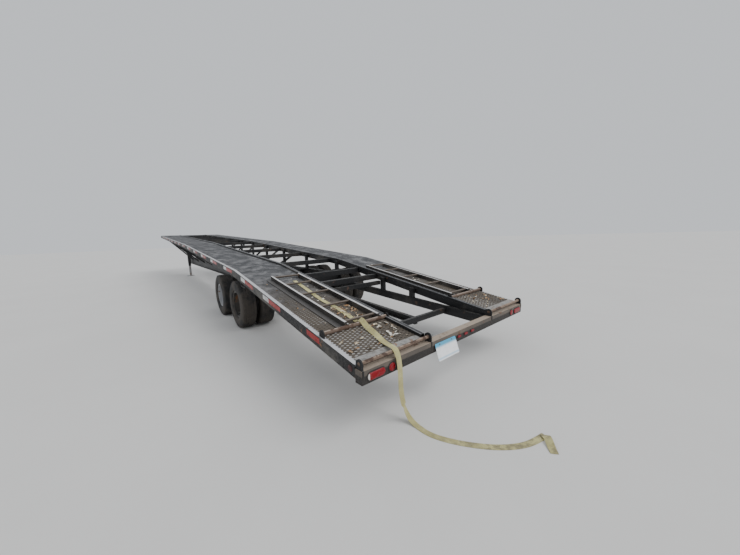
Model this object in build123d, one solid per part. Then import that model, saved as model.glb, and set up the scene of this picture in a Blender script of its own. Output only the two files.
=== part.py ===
from build123d import *

import os
from math import atan, atan2, cos, degrees, hypot, pi, radians, sin, tan

os.makedirs("parts", exist_ok=True)

# Two-track wedge car transporter trailer, parked on its wheels and its two drop legs.
# Millimetres. The model is drawn in stations: x runs forward from the rear face of the rear beam,
# y to the left, z up from the ground. At the end it is moved so that x = 0 is half way along.

# Overall form
NOSE = 16100.0              # station of the front face of the nose beam
HALF_WIDTH = 1295.0         # outer face of the outer rails
TRACK_INNER = 530.0         # inner face of each track, seen from the gap between the tracks
REAR_DECK_Z = 532.0         # top of the deck at the rear beam
KNEE_X = 3000.0             # station where the beaver tail meets the middle deck
KNEE_Z = 999.0
CREST_X = 8000.0            # station where the middle deck meets the front deck
CREST_Z = 1372.0
NOSE_DECK_Z = 1802.0        # top of the deck at the nose

# Sections
OUTER_RAIL_DEPTH = 102.0
OUTER_RAIL_FLANGE = 50.0
INNER_RAIL_DEPTH = 76.0
INNER_RAIL_FLANGE = 44.0
RAIL_WALL = 6.0
DECK_SHEET = 6.0            # expanded metal, lying on the rails and crossmembers
DECK_LAP = 12.0             # how far the sheet lies on the outer rail's flange
DECK_EDGE_GAP = 0.5         # each sheet of a deck stops this short of what it meets
MEMBER_DEPTH = 76.0
MEMBER_FLANGE = 40.0
MEMBER_WALL = 5.0
MEMBER_PITCH = 610.0
REAR_BEAM_TOP = 516.0
REAR_BEAM_DEPTH = 102.0
REAR_BEAM_FLANGE = 76.0
REAR_BEAM_WALL = 8.0
NOSE_BEAM_DEPTH = 102.0
NOSE_BEAM_FLANGE = 50.0

# Main beams and neck
MAIN_BEAM_Y = 530.0
MAIN_BEAM_BOTTOM = 520.0
MAIN_BEAM_DEPTH = 254.0
MAIN_BEAM_FLANGE = 100.0
MAIN_BEAM_WALL = 9.0
MAIN_BEAM_REAR = 2900.0
MAIN_BEAM_FRONT = NOSE - 2850.0
CHORD_DEPTH = 100.0
CHORD_FLANGE = 48.0
CHORD_END_Z = 660.0         # top of the rear chord where it meets the main beam
POST_LONG = 70.0
POST_DEEP = 50.0
RISER_LONG = 250.0
NECK_BEAM_DEPTH = 200.0
NECK_BEAM_REAR = NOSE - 3600.0
NECK_TAPER = 300.0          # from the riser to where the neck beam starts to taper

CHORD_POST_FIRST = 1130.0
CHORD_POST_STEP = 590.0
POST_STEP = 300.0           # each post on a main beam stands this far behind a centre crossmember
CENTRE_TAIL_FIRST = 1900.0  # centre crossmembers on the beaver tail
CENTRE_TAIL_STEP = 460.0
CENTRE_FIRST = 300.0        # from the knee to the first centre crossmember ahead of it
CENTRE_LAST = 800.0         # from the last one to the nose
CENTRE_PITCH = 1200.0
TAIL_TIE_X = 560.0          # cross tie between the rear chords
TAIL_TIE_DROP = 20.0
TAIL_TIE_DEPTH = 60.0
LOWER_INSET = 60.0          # from the end of the main beams to the crossmember there
LOWER_DROP = 30.0
LOWER_DEPTH = 100.0
LOWER_PITCH = 1500.0
BRACE_WIDE = 50.0
BRACE_THICK = 8.0
BRACE_LAP = 20.0            # how far a brace lies on the flanges
BRACE_END = 100.0           # from a crossmember to the end of a brace
OUTRIGGER_FIRST = 6000.0
OUTRIGGER_LAST = NOSE - 4100.0
OUTRIGGER_PITCH = 1200.0
OUTRIGGER_THICK = 60.0
OUTRIGGER_DEEP = 76.0
OUTRIGGER_TIP = 10.0
OUTRIGGER_REACH = 40.0      # how far an arm runs in below the outer rail

# Coupler
CROSS_BEAM = 150.0
COUPLER_X = NOSE - 1700.0
COUPLER_TUBE_R = 57.0
COUPLER_WALL = 8.0
COUPLER_SOCKET_R = 29.5
COUPLER_SOCKET_DEPTH = 60.0
COUPLER_HEAD_R = 62.0
COUPLER_MOUTH_Z = 1040.0
COUPLER_HEAD_HIGH = 140.0
COUPLER_COLLAR_Z = 1330.0

# Wheels and axles
TYRE_R = 391.0
TYRE_WIDTH = 235.0
TYRE_TREAD = 190.0
TYRE_SHOULDER = 22.0
RIM_R = 206.0
RIM_WALL = 6.0
RIM_FLANGE = 16.0
RIM_WIDTH = 176.0
BEAD_GAP = 0.4
DUAL_SPACING = 295.0        # between the mid planes of twin tyres
OUTER_TYRE_Y = 1102.0       # mid plane of the outer tyre
DISC_WALL = 10.0
HAND_HOLES = 8
HAND_HOLE_R = 22.0
HAND_HOLE_PCD = 300.0
HUB_R = 62.0
HUB_CAP_R = 44.0
DRUM_R = 155.0
DRUM_LONG = 110.0
SPINDLE_R = 38.0
SPINDLE_GAP = 0.05
SPINDLE_SHORT = 12.0
AXLE_TUBE_R = 63.5
REAR_AXLE_X = 3450.0
FRONT_AXLE_X = 4570.0

# Leaf springs, hung below the axles
SPRING_HALF = 450.0
SPRING_CAMBER = 70.0
SPRING_WIDE = 60.0
LEAF = 9.0
LEAF_SHARES = (1.0, 0.75, 0.5)
EYE_R = 22.0
EYE_PIN_R = 12.0
PIN_GAP = 0.3
SEAT_PAD = 8.0
SEAT_LONG = 100.0
SEAT_FIT = 0.3              # between a curved leaf and its seat
HANGER_PLATE = 8.0
HANGER_LONG = 70.0

# Drop legs
JACK_X = NOSE - 3300.0
JACK_TUBE = 90.0
JACK_WALL = 6.0
JACK_GAP = 0.5
JACK_BOTTOM = 430.0
JACK_TOP = 1330.0
JACK_STAND_OFF = 10.0
JACK_PAD = 250.0
JACK_PAD_THICK = 12.0
JACK_LEG_WALL = 6.0
JACK_LEG_INSIDE = 560.0     # length of the leg that stays inside the tube

# Ramps and their bars
RAMP_REAR = 574.0
RAMP_FRONT = 2266.0
RAMP_INSET = 98.0           # from the track's inner face to the middle of the inner ramp rail
RAMP_SPACING = 386.0        # between the middles of the two ramp rails
RAMP_RAIL_WIDE = 26.0
RAMP_RAIL_HIGH = 54.0
RAMP_REST_GAP = 0.4
RUNG_R = 13.0
RUNG_LOW = 44.0             # middle of a rung above the deck
RUNG_STATIONS = (620.0, 1040.0, 1460.0, 1880.0, 2240.0)
BAR_X = 545.0
BAR_R = 19.0
BAR_REST_GAP = 1.0
HOOK_GAP = 1.0
HOOK_WALL = 11.0
HOOK_THICK = 12.0
HOOK_SWEEP = 110.0
LUG_THICK = 12.0
LUG_HALF = 36.0
REAR_BAR_X = 37.0
REAR_BAR_R = 16.0
REAR_BAR_BOW = 8.0
LUG_HOLE_GAP = 0.6

# Lamps and plate
OVAL_LENS = (165.0, 57.0)
OVAL_LENS_Y = 1163.0
ROUND_LENS_R = 32.0
ROUND_LENS_Y = 1008.0
LENS_Z = 462.0
LENS_PROUD = 12.0
SMALL_LENS = (52.0, 22.0)
SMALL_LENS_Y = (116.0, 0.0, -116.0)
MARKER_R = 26.0
MARKER_PROUD = 5.0
MARKER_X = 130.0
PLATE = (305.0, 152.0)
PLATE_THICK = 2.0
PLATE_Y = 338.0
PLATE_TOP_Z = 486.0
PLATE_TILT = 19.0
PLATE_TAB = 24.0

# Rod loops below the outer rails
LOOP_X = 2600.0
LOOP_LONG = 190.0
LOOP_DROP = 60.0
LOOP_R = 7.0

# Strap: flat webbing, first in one upright plane, then flat on the ground
STRAP_WIDE = 50.0
STRAP_THICK = 3.0
STRAP_Y = 940.0             # where its plane crosses the rear beam's face
STRAP_SLANT = -0.125        # change of y for each millimetre forward
FLOOR_GAP = 0.5


def deck_z(x):
    """Height of the deck line (rail tops) at station x."""
    line = ((0.0, REAR_DECK_Z), (KNEE_X, KNEE_Z), (CREST_X, CREST_Z), (NOSE, NOSE_DECK_Z))
    for (x0, z0), (x1, z1) in zip(line, line[1:]):
        if x <= x1:
            break
    return z0 + (z1 - z0) * (x - x0) / (x1 - x0)


def band(x0, x1, top, bottom):
    """Outline between two lines parallel to the deck line, top and bottom counted up from it."""
    stations = [x0] + [x for x in (KNEE_X, CREST_X) if x0 < x < x1] + [x1]
    upper = [(x, deck_z(x) + top) for x in stations]
    lower = [(x, deck_z(x) + bottom) for x in reversed(stations)]
    return upper + lower


def prism_y(points, y0, y1):
    """Solid with the given (x, z) outline from y0 to y1."""
    wire = Wire.make_polygon([Vector(x, y0, z) for x, z in points], close=True)
    return extrude(Face(wire), amount=y1 - y0, dir=(0, 1, 0))


def prism_x(points, x0, x1):
    """Solid with the given (y, z) outline from x0 to x1."""
    wire = Wire.make_polygon([Vector(x0, y, z) for y, z in points], close=True)
    return extrude(Face(wire), amount=x1 - x0, dir=(1, 0, 0))


def block(x0, x1, y0, y1, z0, z1):
    """Plain block between two corners."""
    return Pos((x0 + x1) / 2, (y0 + y1) / 2, (z0 + z1) / 2) * Box(x1 - x0, y1 - y0, z1 - z0)


def bar_y(x, z, radius, y0, y1):
    """Round bar along y."""
    return Pos(x, (y0 + y1) / 2, z) * Rot(90, 0, 0) * Cylinder(radius, y1 - y0)


def mirrored(shape):
    """The same piece on the right-hand side."""
    return mirror(shape, about=Plane.XZ)


def both_sides(shape):
    """A piece and its mirror image, as separate solids."""
    return Compound(children=[*shape.solids(), *mirrored(shape).solids()])


def group(shapes):
    """Separate solids kept in one node."""
    return Compound(children=[solid for shape in shapes for solid in shape.solids()])


def channel_outline(wide, high, wall):
    """Channel section, open to +first axis, corner at the origin."""
    return [(0, 0), (wide, 0), (wide, wall), (wall, wall), (wall, high - wall),
            (wide, high - wall), (wide, high), (0, high)]


def moved(points, dx, dz):
    """Outline moved by (dx, dz)."""
    return [(x + dx, z + dz) for x, z in points]


# Rails, beams and decks

def outer_rail():
    """Left outer rail: channel with its web outwards, bent twice along the deck line."""
    x0, x1 = REAR_BEAM_FLANGE, NOSE - NOSE_BEAM_FLANGE
    full = prism_y(band(x0, x1, 0, -OUTER_RAIL_DEPTH), HALF_WIDTH - OUTER_RAIL_FLANGE, HALF_WIDTH)
    core = prism_y(band(x0, x1, -RAIL_WALL, RAIL_WALL - OUTER_RAIL_DEPTH),
                   HALF_WIDTH - OUTER_RAIL_FLANGE, HALF_WIDTH - RAIL_WALL)
    return full - core


def inner_rail():
    """Left track's inner rail: channel with its web to the gap between the tracks."""
    x0, x1 = REAR_BEAM_FLANGE, NOSE - NOSE_BEAM_FLANGE
    full = prism_y(band(x0, x1, 0, -INNER_RAIL_DEPTH), TRACK_INNER, TRACK_INNER + INNER_RAIL_FLANGE)
    core = prism_y(band(x0, x1, -RAIL_WALL, RAIL_WALL - INNER_RAIL_DEPTH),
                   TRACK_INNER + RAIL_WALL, TRACK_INNER + INNER_RAIL_FLANGE)
    return full - core


def lug(x, z, foot, y):
    """Upright plate with a round head, standing on the line foot, which gives a height for x."""
    x0, x1 = x - LUG_HALF, x + LUG_HALF
    y0, y1 = y - LUG_THICK / 2, y + LUG_THICK / 2
    below = [(x0, foot(x0)), (x1, foot(x1)), (x1, z - 2 * LUG_HALF), (x0, z - 2 * LUG_HALF)]
    leg = prism_y([(x0, foot(x0)), (x1, foot(x1)), (x1, z), (x0, z)], y0, y1)
    return bar_y(x, z, LUG_HALF, y0, y1) - prism_y(below, y0, y1) + leg


def rear_bar_z():
    """Middle of the rear bars."""
    return REAR_DECK_Z + BAR_REST_GAP + DECK_SHEET + BAR_R


def rear_lug_places():
    """y of the lugs on the left half of the rear beam."""
    return (HALF_WIDTH - LUG_THICK / 2 - RAIL_WALL, TRACK_INNER)


def rear_beam():
    """Full-width rear channel, web to the rear, with capped ends and the lugs of the rear bars."""
    outline = moved(channel_outline(REAR_BEAM_FLANGE, REAR_BEAM_DEPTH, REAR_BEAM_WALL),
                    0, REAR_BEAM_TOP - REAR_BEAM_DEPTH)
    beam = prism_y(outline, -HALF_WIDTH, HALF_WIDTH)
    for side in (-1, 1):
        y0, y1 = sorted((side * (HALF_WIDTH - REAR_BEAM_WALL), side * HALF_WIDTH))
        beam += block(0, REAR_BEAM_FLANGE, y0, y1, REAR_BEAM_TOP - REAR_BEAM_DEPTH, REAR_BEAM_TOP)
        for y in rear_lug_places():
            hole = bar_y(REAR_BAR_X, rear_bar_z(), REAR_BAR_R + LUG_HOLE_GAP,
                         side * y - LUG_THICK, side * y + LUG_THICK)
            beam += lug(REAR_BAR_X, rear_bar_z(), lambda x: REAR_BEAM_TOP, side * y) - hole
    return beam


def rear_bars():
    """Rusty bars between the rear lugs, a little bowed from use."""
    outer, inner = rear_lug_places()
    y0, y1 = inner - LUG_THICK / 2, outer + LUG_THICK / 2
    path = ThreePointArc((REAR_BAR_X, y0, rear_bar_z()),
                         (REAR_BAR_X - REAR_BAR_BOW, (y0 + y1) / 2, rear_bar_z()),
                         (REAR_BAR_X, y1, rear_bar_z()))
    bar = sweep(Plane(path @ 0, z_dir=path % 0) * Circle(REAR_BAR_R), path)
    return both_sides(bar)


def nose_beam():
    """Front cross channel, web forward."""
    outline = [(NOSE - x, z) for x, z in channel_outline(NOSE_BEAM_FLANGE, NOSE_BEAM_DEPTH, RAIL_WALL)]
    top = deck_z(NOSE - NOSE_BEAM_FLANGE)
    return prism_y(moved(outline, 0, top - NOSE_BEAM_DEPTH), -HALF_WIDTH, HALF_WIDTH)


def spread(first, last, pitch):
    """Stations from first to last, evenly spaced at about the pitch."""
    count = round((last - first) / pitch)
    return [first + (last - first) * i / count for i in range(count + 1)]


def member_stations():
    """Stations of the track crossmembers, from the rear to the nose."""
    return spread(REAR_BEAM_FLANGE + MEMBER_FLANGE, NOSE - NOSE_BEAM_FLANGE - 2 * MEMBER_FLANGE, MEMBER_PITCH)


def level_member(x, y0, y1, top, depth):
    """Cross channel with its back to the rear at station x."""
    return prism_y(moved(channel_outline(MEMBER_FLANGE, depth, MEMBER_WALL), x, top - depth), y0, y1)


def deck_member(x, y0, y1):
    """Cross channel at station x whose top lies along the deck line."""
    outline = channel_outline(MEMBER_FLANGE, MEMBER_DEPTH, MEMBER_WALL)
    return prism_y([(x + dx, deck_z(x + dx) - MEMBER_DEPTH + dz) for dx, dz in outline], y0, y1)


def track_members():
    """Crossmembers of both tracks, between the flanges of the inner and outer rails."""
    y0, y1 = TRACK_INNER + INNER_RAIL_FLANGE, HALF_WIDTH - OUTER_RAIL_FLANGE
    return group([both_sides(deck_member(x, y0, y1)) for x in member_stations()])


def deck():
    """Left deck: sheets of expanded metal lying on the rails, meeting at the knee and the crest."""
    ends = (REAR_BEAM_FLANGE, KNEE_X, CREST_X, NOSE)
    y0, y1 = TRACK_INNER, HALF_WIDTH - OUTER_RAIL_FLANGE + DECK_LAP
    return group([prism_y(band(x0 + DECK_EDGE_GAP, x1 - DECK_EDGE_GAP, DECK_SHEET, 0), y0, y1)
                  for x0, x1 in zip(ends, ends[1:])])


# Lower frame

def chord_top(x):
    """Top of the rear chord at station x."""
    share = (x - REAR_BEAM_FLANGE) / (MAIN_BEAM_REAR - REAR_BEAM_FLANGE)
    return REAR_BEAM_TOP + (CHORD_END_Z - REAR_BEAM_TOP) * share


def main_beam():
    """Left main beam: rolled section with two flanges and a web."""
    z0, z1 = MAIN_BEAM_BOTTOM, MAIN_BEAM_BOTTOM + MAIN_BEAM_DEPTH
    w, t = MAIN_BEAM_FLANGE / 2, MAIN_BEAM_WALL
    outline = [(-w, z0), (w, z0), (w, z0 + t), (t / 2, z0 + t), (t / 2, z1 - t), (w, z1 - t),
               (w, z1), (-w, z1), (-w, z1 - t), (-t / 2, z1 - t), (-t / 2, z0 + t), (-w, z0 + t)]
    return prism_x(moved(outline, MAIN_BEAM_Y, 0), MAIN_BEAM_REAR, MAIN_BEAM_FRONT)


def rear_chord():
    """Left lower member of the rear frame, from the rear beam up to the main beam."""
    x0, x1 = REAR_BEAM_FLANGE, MAIN_BEAM_REAR
    outer = [(x0, chord_top(x0)), (x1, chord_top(x1)),
             (x1, chord_top(x1) - CHORD_DEPTH), (x0, chord_top(x0) - CHORD_DEPTH)]
    inner = [(x0, chord_top(x0) - RAIL_WALL), (x1, chord_top(x1) - RAIL_WALL),
             (x1, chord_top(x1) - CHORD_DEPTH + RAIL_WALL), (x0, chord_top(x0) - CHORD_DEPTH + RAIL_WALL)]
    full = prism_y(outer, TRACK_INNER - CHORD_FLANGE, TRACK_INNER)
    return full - prism_y(inner, TRACK_INNER - CHORD_FLANGE + RAIL_WALL, TRACK_INNER)


def post(x, foot):
    """Left post at station x, from the line foot, which gives a height for x, up the inner rail's web."""
    x0, x1 = x - POST_LONG / 2, x + POST_LONG / 2
    outline = [(x0, foot(x0)), (x1, foot(x1)), (x1, deck_z(x1) - RAIL_WALL), (x0, deck_z(x0) - RAIL_WALL)]
    return prism_y(outline, TRACK_INNER - POST_DEEP, TRACK_INNER)


def beam_top(_):
    """Top of the main beams, the same at each station."""
    return MAIN_BEAM_BOTTOM + MAIN_BEAM_DEPTH


def posts():
    """Posts of both sides: on the rear chords, then on the main beams as far as the neck."""
    shapes = [post(CHORD_POST_FIRST + i * CHORD_POST_STEP, chord_top) for i in range(2)]
    shapes += [post(x - POST_STEP, beam_top) for x in centre_stations() if x < NECK_BEAM_REAR]
    return group([both_sides(shape) for shape in shapes])


def centre_stations():
    """Stations of the centre crossmembers ahead of the knee."""
    return spread(KNEE_X + CENTRE_FIRST, NOSE - CENTRE_LAST, CENTRE_PITCH)


def centre_members():
    """Crossmembers in the gap between the tracks, at deck level."""
    tail = [CENTRE_TAIL_FIRST + i * CENTRE_TAIL_STEP for i in range(2)]
    return group([deck_member(x, -TRACK_INNER, TRACK_INNER) for x in tail + centre_stations()])


def lower_stations():
    """Stations of the crossmembers between the main beams."""
    return spread(MAIN_BEAM_REAR + LOWER_INSET, MAIN_BEAM_FRONT - LOWER_INSET, LOWER_PITCH)


def lower_members():
    """Crossmembers between the rear chords and between the main beams."""
    chord_half = TRACK_INNER - CHORD_FLANGE
    beam_half = MAIN_BEAM_Y - MAIN_BEAM_WALL / 2
    top = MAIN_BEAM_BOTTOM + MAIN_BEAM_DEPTH - MAIN_BEAM_WALL - LOWER_DROP
    tie_top = chord_top(TAIL_TIE_X) - TAIL_TIE_DROP
    tie = level_member(TAIL_TIE_X, -chord_half, chord_half, tie_top, TAIL_TIE_DEPTH)
    return group([tie] + [level_member(x, -beam_half, beam_half, top, LOWER_DEPTH) for x in lower_stations()])


def lower_braces():
    """Flat diagonal braces between the main beams, turned the other way from bay to bay."""
    half = MAIN_BEAM_Y - MAIN_BEAM_FLANGE / 2 + BRACE_LAP
    z0 = MAIN_BEAM_BOTTOM + MAIN_BEAM_WALL
    stations = lower_stations()
    shapes = []
    for i, (x0, x1) in enumerate(zip(stations, stations[1:])):
        a, b = x0 + BRACE_END, x1 - BRACE_END
        y0, y1 = (-half, half) if i % 2 else (half, -half)
        corners = [(a, y0), (a + BRACE_WIDE, y0), (b, y1), (b - BRACE_WIDE, y1)]
        wire = Wire.make_polygon([Vector(x, y, z0) for x, y in corners], close=True)
        shapes.append(extrude(Face(wire), amount=BRACE_THICK, dir=(0, 0, 1)))
    return group(shapes)


def outriggers():
    """Sloping arms from the main beams up to the outer rails."""
    shapes = []
    foot_y, head_y = MAIN_BEAM_Y + MAIN_BEAM_FLANGE / 2, HALF_WIDTH - OUTER_RAIL_FLANGE
    foot_z = MAIN_BEAM_BOTTOM + MAIN_BEAM_DEPTH - OUTRIGGER_TIP
    tip_y = head_y + OUTRIGGER_REACH
    for x in spread(OUTRIGGER_FIRST, OUTRIGGER_LAST, OUTRIGGER_PITCH):
        head_z = deck_z(x) - OUTER_RAIL_DEPTH
        points = [(foot_y, foot_z), (head_y, head_z), (tip_y, head_z), (tip_y, head_z - OUTRIGGER_TIP),
                  (foot_y, foot_z - OUTRIGGER_DEEP)]
        shapes.append(both_sides(prism_x(points, x, x + OUTRIGGER_THICK)))
    return group(shapes)


# Neck and coupler

def neck_top(x):
    """Top of the neck beams, just below the crossmembers and rails."""
    return deck_z(x) - MEMBER_DEPTH


def neck():
    """Left neck: riser on the main beam and the beam that runs on to the nose."""
    z0, z1 = MAIN_BEAM_BOTTOM + MAIN_BEAM_DEPTH, 0
    x0, x1 = NECK_BEAM_REAR, NOSE - NOSE_BEAM_FLANGE
    w, t = MAIN_BEAM_FLANGE / 2, MAIN_BEAM_WALL
    y0, y1 = MAIN_BEAM_Y - w, MAIN_BEAM_Y + w
    foot0, foot1 = MAIN_BEAM_FRONT - RISER_LONG, MAIN_BEAM_FRONT
    bend = foot1 + NECK_TAPER

    def outline(wall):
        """Side outline of the neck beam, drawn in by a wall."""
        return [(x0, neck_top(x0) - wall), (x1, neck_top(x1) - wall),
                (x1, neck_top(x1) - NECK_BEAM_DEPTH / 2 + wall),
                (bend, neck_top(bend) - NECK_BEAM_DEPTH + wall),
                (x0, neck_top(x0) - NECK_BEAM_DEPTH + wall)]

    beam, web_in = outline(0), outline(t)
    solid = prism_y(beam, y0, y1)
    solid -= prism_y(web_in, y0, MAIN_BEAM_Y - t / 2)
    solid -= prism_y(web_in, MAIN_BEAM_Y + t / 2, y1)
    head0 = neck_top(foot0) - NECK_BEAM_DEPTH
    head1 = neck_top(foot1) - NECK_BEAM_DEPTH
    riser = prism_y([(foot0, z0), (foot1, z0), (foot1, head1 + t / 2), (foot0, head0 + t / 2)], y0, y1)
    hollow = prism_y([(foot0 + t, z0), (foot1 - t, z0), (foot1 - t, head1 - t), (foot0 + t, head0 - t)],
                     y0, MAIN_BEAM_Y - t / 2)
    riser -= hollow
    riser -= Pos(0, MAIN_BEAM_FLANGE / 2 + t / 2, 0) * hollow
    return solid + riser


def coupler_beam():
    """Cross beam of the neck that carries the coupler tube."""
    half = MAIN_BEAM_Y - MAIN_BEAM_FLANGE / 2
    top = neck_top(COUPLER_X) - 20
    x0, x1 = COUPLER_X - CROSS_BEAM / 2, COUPLER_X + CROSS_BEAM / 2
    beam = block(x0, x1, -half, half, top - CROSS_BEAM, top)
    hole = Pos(COUPLER_X, 0, top - CROSS_BEAM / 2) * Cylinder(COUPLER_TUBE_R, CROSS_BEAM)
    tube_z0 = COUPLER_COLLAR_Z
    tube = Pos(COUPLER_X, 0, (tube_z0 + top) / 2) * Cylinder(COUPLER_TUBE_R, top - tube_z0)
    bore = Pos(COUPLER_X, 0, (tube_z0 + top) / 2 - COUPLER_WALL) * Cylinder(
        COUPLER_TUBE_R - COUPLER_WALL, top - tube_z0)
    return (beam - hole) + (tube - bore)


def coupler():
    """Sliding coupler: inner tube, collar and head with the ball socket."""
    tube_r = COUPLER_TUBE_R - COUPLER_WALL - BEAD_GAP
    head = Pos(COUPLER_X, 0, COUPLER_MOUTH_Z + COUPLER_HEAD_HIGH / 2) * Cylinder(
        COUPLER_HEAD_R, COUPLER_HEAD_HIGH)
    z1 = COUPLER_COLLAR_Z + 120
    z0 = COUPLER_MOUTH_Z + COUPLER_HEAD_HIGH
    tube = Pos(COUPLER_X, 0, (z0 + z1) / 2) * Cylinder(tube_r, z1 - z0)
    socket = Pos(COUPLER_X, 0, COUPLER_MOUTH_Z + COUPLER_SOCKET_DEPTH / 2) * Cylinder(
        COUPLER_SOCKET_R, COUPLER_SOCKET_DEPTH)
    latch = block(COUPLER_X + COUPLER_HEAD_R - 10, COUPLER_X + COUPLER_HEAD_R + 60, -30, 30,
                  COUPLER_MOUTH_Z + 20, COUPLER_MOUTH_Z + 60)
    return head + tube + latch - socket


# Drop legs

def jack_y():
    """Middle of the left drop leg."""
    return MAIN_BEAM_Y + MAIN_BEAM_FLANGE / 2 + JACK_STAND_OFF + JACK_TUBE / 2


def jack_tubes():
    """Square outer tubes with their brackets on the main beams and neck."""
    half, y = JACK_TUBE / 2, jack_y()
    tube = block(JACK_X - half, JACK_X + half, y - half, y + half, JACK_BOTTOM, JACK_TOP)
    tube -= block(JACK_X - half + JACK_WALL, JACK_X + half - JACK_WALL, y - half + JACK_WALL,
                  y + half - JACK_WALL, JACK_BOTTOM, JACK_TOP - JACK_WALL)
    beam_face = MAIN_BEAM_Y + MAIN_BEAM_FLANGE / 2
    bracket = block(JACK_X - half, JACK_X + half, beam_face, y - half, MAIN_BEAM_BOTTOM,
                    MAIN_BEAM_BOTTOM + MAIN_BEAM_DEPTH)
    gear = block(JACK_X - 60, JACK_X + 60, y - half - 5, y + half + 15, JACK_TOP, JACK_TOP + 70)
    handle = bar_y(JACK_X, JACK_TOP + 35, 11, y + half + 15, y + half + 90)
    crank = block(JACK_X - 12, JACK_X + 12, y + half + 78, y + half + 90, JACK_TOP - 150, JACK_TOP + 47)
    grip = bar_y(JACK_X, JACK_TOP - 138, 11, y + half + 90, y + half + 190)
    return both_sides(tube + bracket + gear + handle + crank + grip)


def jack_legs():
    """Inner legs down to the ground, with their pads."""
    half, y = JACK_TUBE / 2 - JACK_WALL - JACK_GAP, jack_y()
    top = JACK_BOTTOM + JACK_LEG_INSIDE
    leg = block(JACK_X - half, JACK_X + half, y - half, y + half, JACK_PAD_THICK, top)
    leg -= block(JACK_X - half + JACK_LEG_WALL, JACK_X + half - JACK_LEG_WALL, y - half + JACK_LEG_WALL,
                 y + half - JACK_LEG_WALL, JACK_PAD_THICK, top)
    pad = block(JACK_X - JACK_PAD / 2, JACK_X + JACK_PAD / 2, y - JACK_PAD / 2, y + JACK_PAD / 2,
                0, JACK_PAD_THICK)
    return both_sides(leg + pad)


# Running gear

def about_axle(profile):
    """Turn a (radius, y) outline about the y axis."""
    wire = Wire.make_polygon([Vector(r, y, 0) for r, y in profile], close=True)
    return revolve(Face(wire), axis=Axis.Y)


def tyre(y):
    """One tyre about the axle line, with flat tread, shoulders and bulged sides."""
    w, tread = TYRE_WIDTH / 2, TYRE_TREAD / 2
    bead = RIM_R + BEAD_GAP
    rim_half = RIM_WIDTH / 2 - RIM_WALL - BEAD_GAP
    side_r = (bead + TYRE_R) / 2
    heel = bead + RIM_FLANGE
    half = [(bead, rim_half), (heel, rim_half), (heel + 4, w - 12), (side_r, w),
            (TYRE_R - TYRE_SHOULDER, w - 6), (TYRE_R, tread)]
    outline = [(r, -side) for r, side in half] + list(reversed(half))
    return about_axle(moved(outline, 0, y))


def inner_tyre_y():
    """Mid plane of the inner tyre."""
    return OUTER_TYRE_Y - DUAL_SPACING


def tyres():
    """Twin tyres of one left wheel."""
    return group([tyre(OUTER_TYRE_Y), tyre(inner_tyre_y())])


def wheel_face_y():
    """Plane where the two discs meet."""
    return OUTER_TYRE_Y - DUAL_SPACING / 2


def barrel(y):
    """Rim barrel with its two flanges."""
    w = RIM_WIDTH / 2
    outline = [(RIM_R - RIM_WALL, -w), (RIM_R + RIM_FLANGE, -w), (RIM_R + RIM_FLANGE, -w + RIM_WALL),
               (RIM_R, -w + RIM_WALL), (RIM_R, w - RIM_WALL), (RIM_R + RIM_FLANGE, w - RIM_WALL),
               (RIM_R + RIM_FLANGE, w), (RIM_R - RIM_WALL, w)]
    return about_axle(moved(outline, 0, y))


def dish(direction):
    """Disc that runs from the meeting plane out to one barrel; direction is 1 outwards, -1 inwards."""
    face, barrel_y = wheel_face_y(), OUTER_TYRE_Y if direction > 0 else inner_tyre_y()
    edge = barrel_y - direction * (RIM_WIDTH / 2 - 14)
    hub, knee, rim = HUB_R - 4, RIM_R - 38, RIM_R - RIM_WALL / 2
    d = direction * DISC_WALL
    outline = [(hub, face), (knee, face), (rim, edge), (rim, edge + d), (knee - 4, face + d), (hub, face + d)]
    return about_axle(outline)


def wheel():
    """Twin rims on their hub and drum, all turning together, about the axle line."""
    face = wheel_face_y()
    body = barrel(OUTER_TYRE_Y) + barrel(inner_tyre_y()) + dish(1) + dish(-1)
    drum_y = inner_tyre_y() - TYRE_WIDTH / 2 - 20
    hub_outline = [(SPINDLE_R + SPINDLE_GAP, drum_y), (DRUM_R, drum_y), (DRUM_R, drum_y + DRUM_LONG),
                   (HUB_R, drum_y + DRUM_LONG + 20), (HUB_R, face + 70), (HUB_CAP_R, face + 80),
                   (HUB_CAP_R - 4, face + 110), (0, face + 110), (0, face - 30),
                   (SPINDLE_R + SPINDLE_GAP, face - 30)]
    body += about_axle(hub_outline)
    for i in range(HAND_HOLES):
        angle = 2 * pi * (i + 0.5) / HAND_HOLES
        x, z = HAND_HOLE_PCD / 2 * cos(angle), HAND_HOLE_PCD / 2 * sin(angle)
        body -= bar_y(x, z, HAND_HOLE_R, face - 2 * DISC_WALL, face + 2 * DISC_WALL)
    return body


def axle(x):
    """Axle tube with spindles, spring seats below it and clamp plates below the springs."""
    end = inner_tyre_y() - TYRE_WIDTH / 2 - 40
    tip = wheel_face_y() - 30 - SPINDLE_SHORT
    z = TYRE_R
    shape = bar_y(x, z, AXLE_TUBE_R, -end, end) + bar_y(x, z, SPINDLE_R, -tip, tip)
    for side in (-1, 1):
        y = side * MAIN_BEAM_Y
        top = z - AXLE_TUBE_R + 10
        seat = block(x - SEAT_LONG / 2, x + SEAT_LONG / 2, y - SPRING_WIDE / 2, y + SPRING_WIDE / 2,
                     spring_top(), top)
        shape += seat & bar_y(x, spring_top() + spring_radius(), spring_radius() - SEAT_FIT,
                              y - SPRING_WIDE, y + SPRING_WIDE)
    return shape


def spring_top():
    """Top of the main leaf at the axle."""
    return TYRE_R - AXLE_TUBE_R - SEAT_PAD


def spring_radius():
    """Radius of the main leaf's upper face."""
    return (SPRING_HALF ** 2 + SPRING_CAMBER ** 2) / (2 * SPRING_CAMBER)


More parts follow.
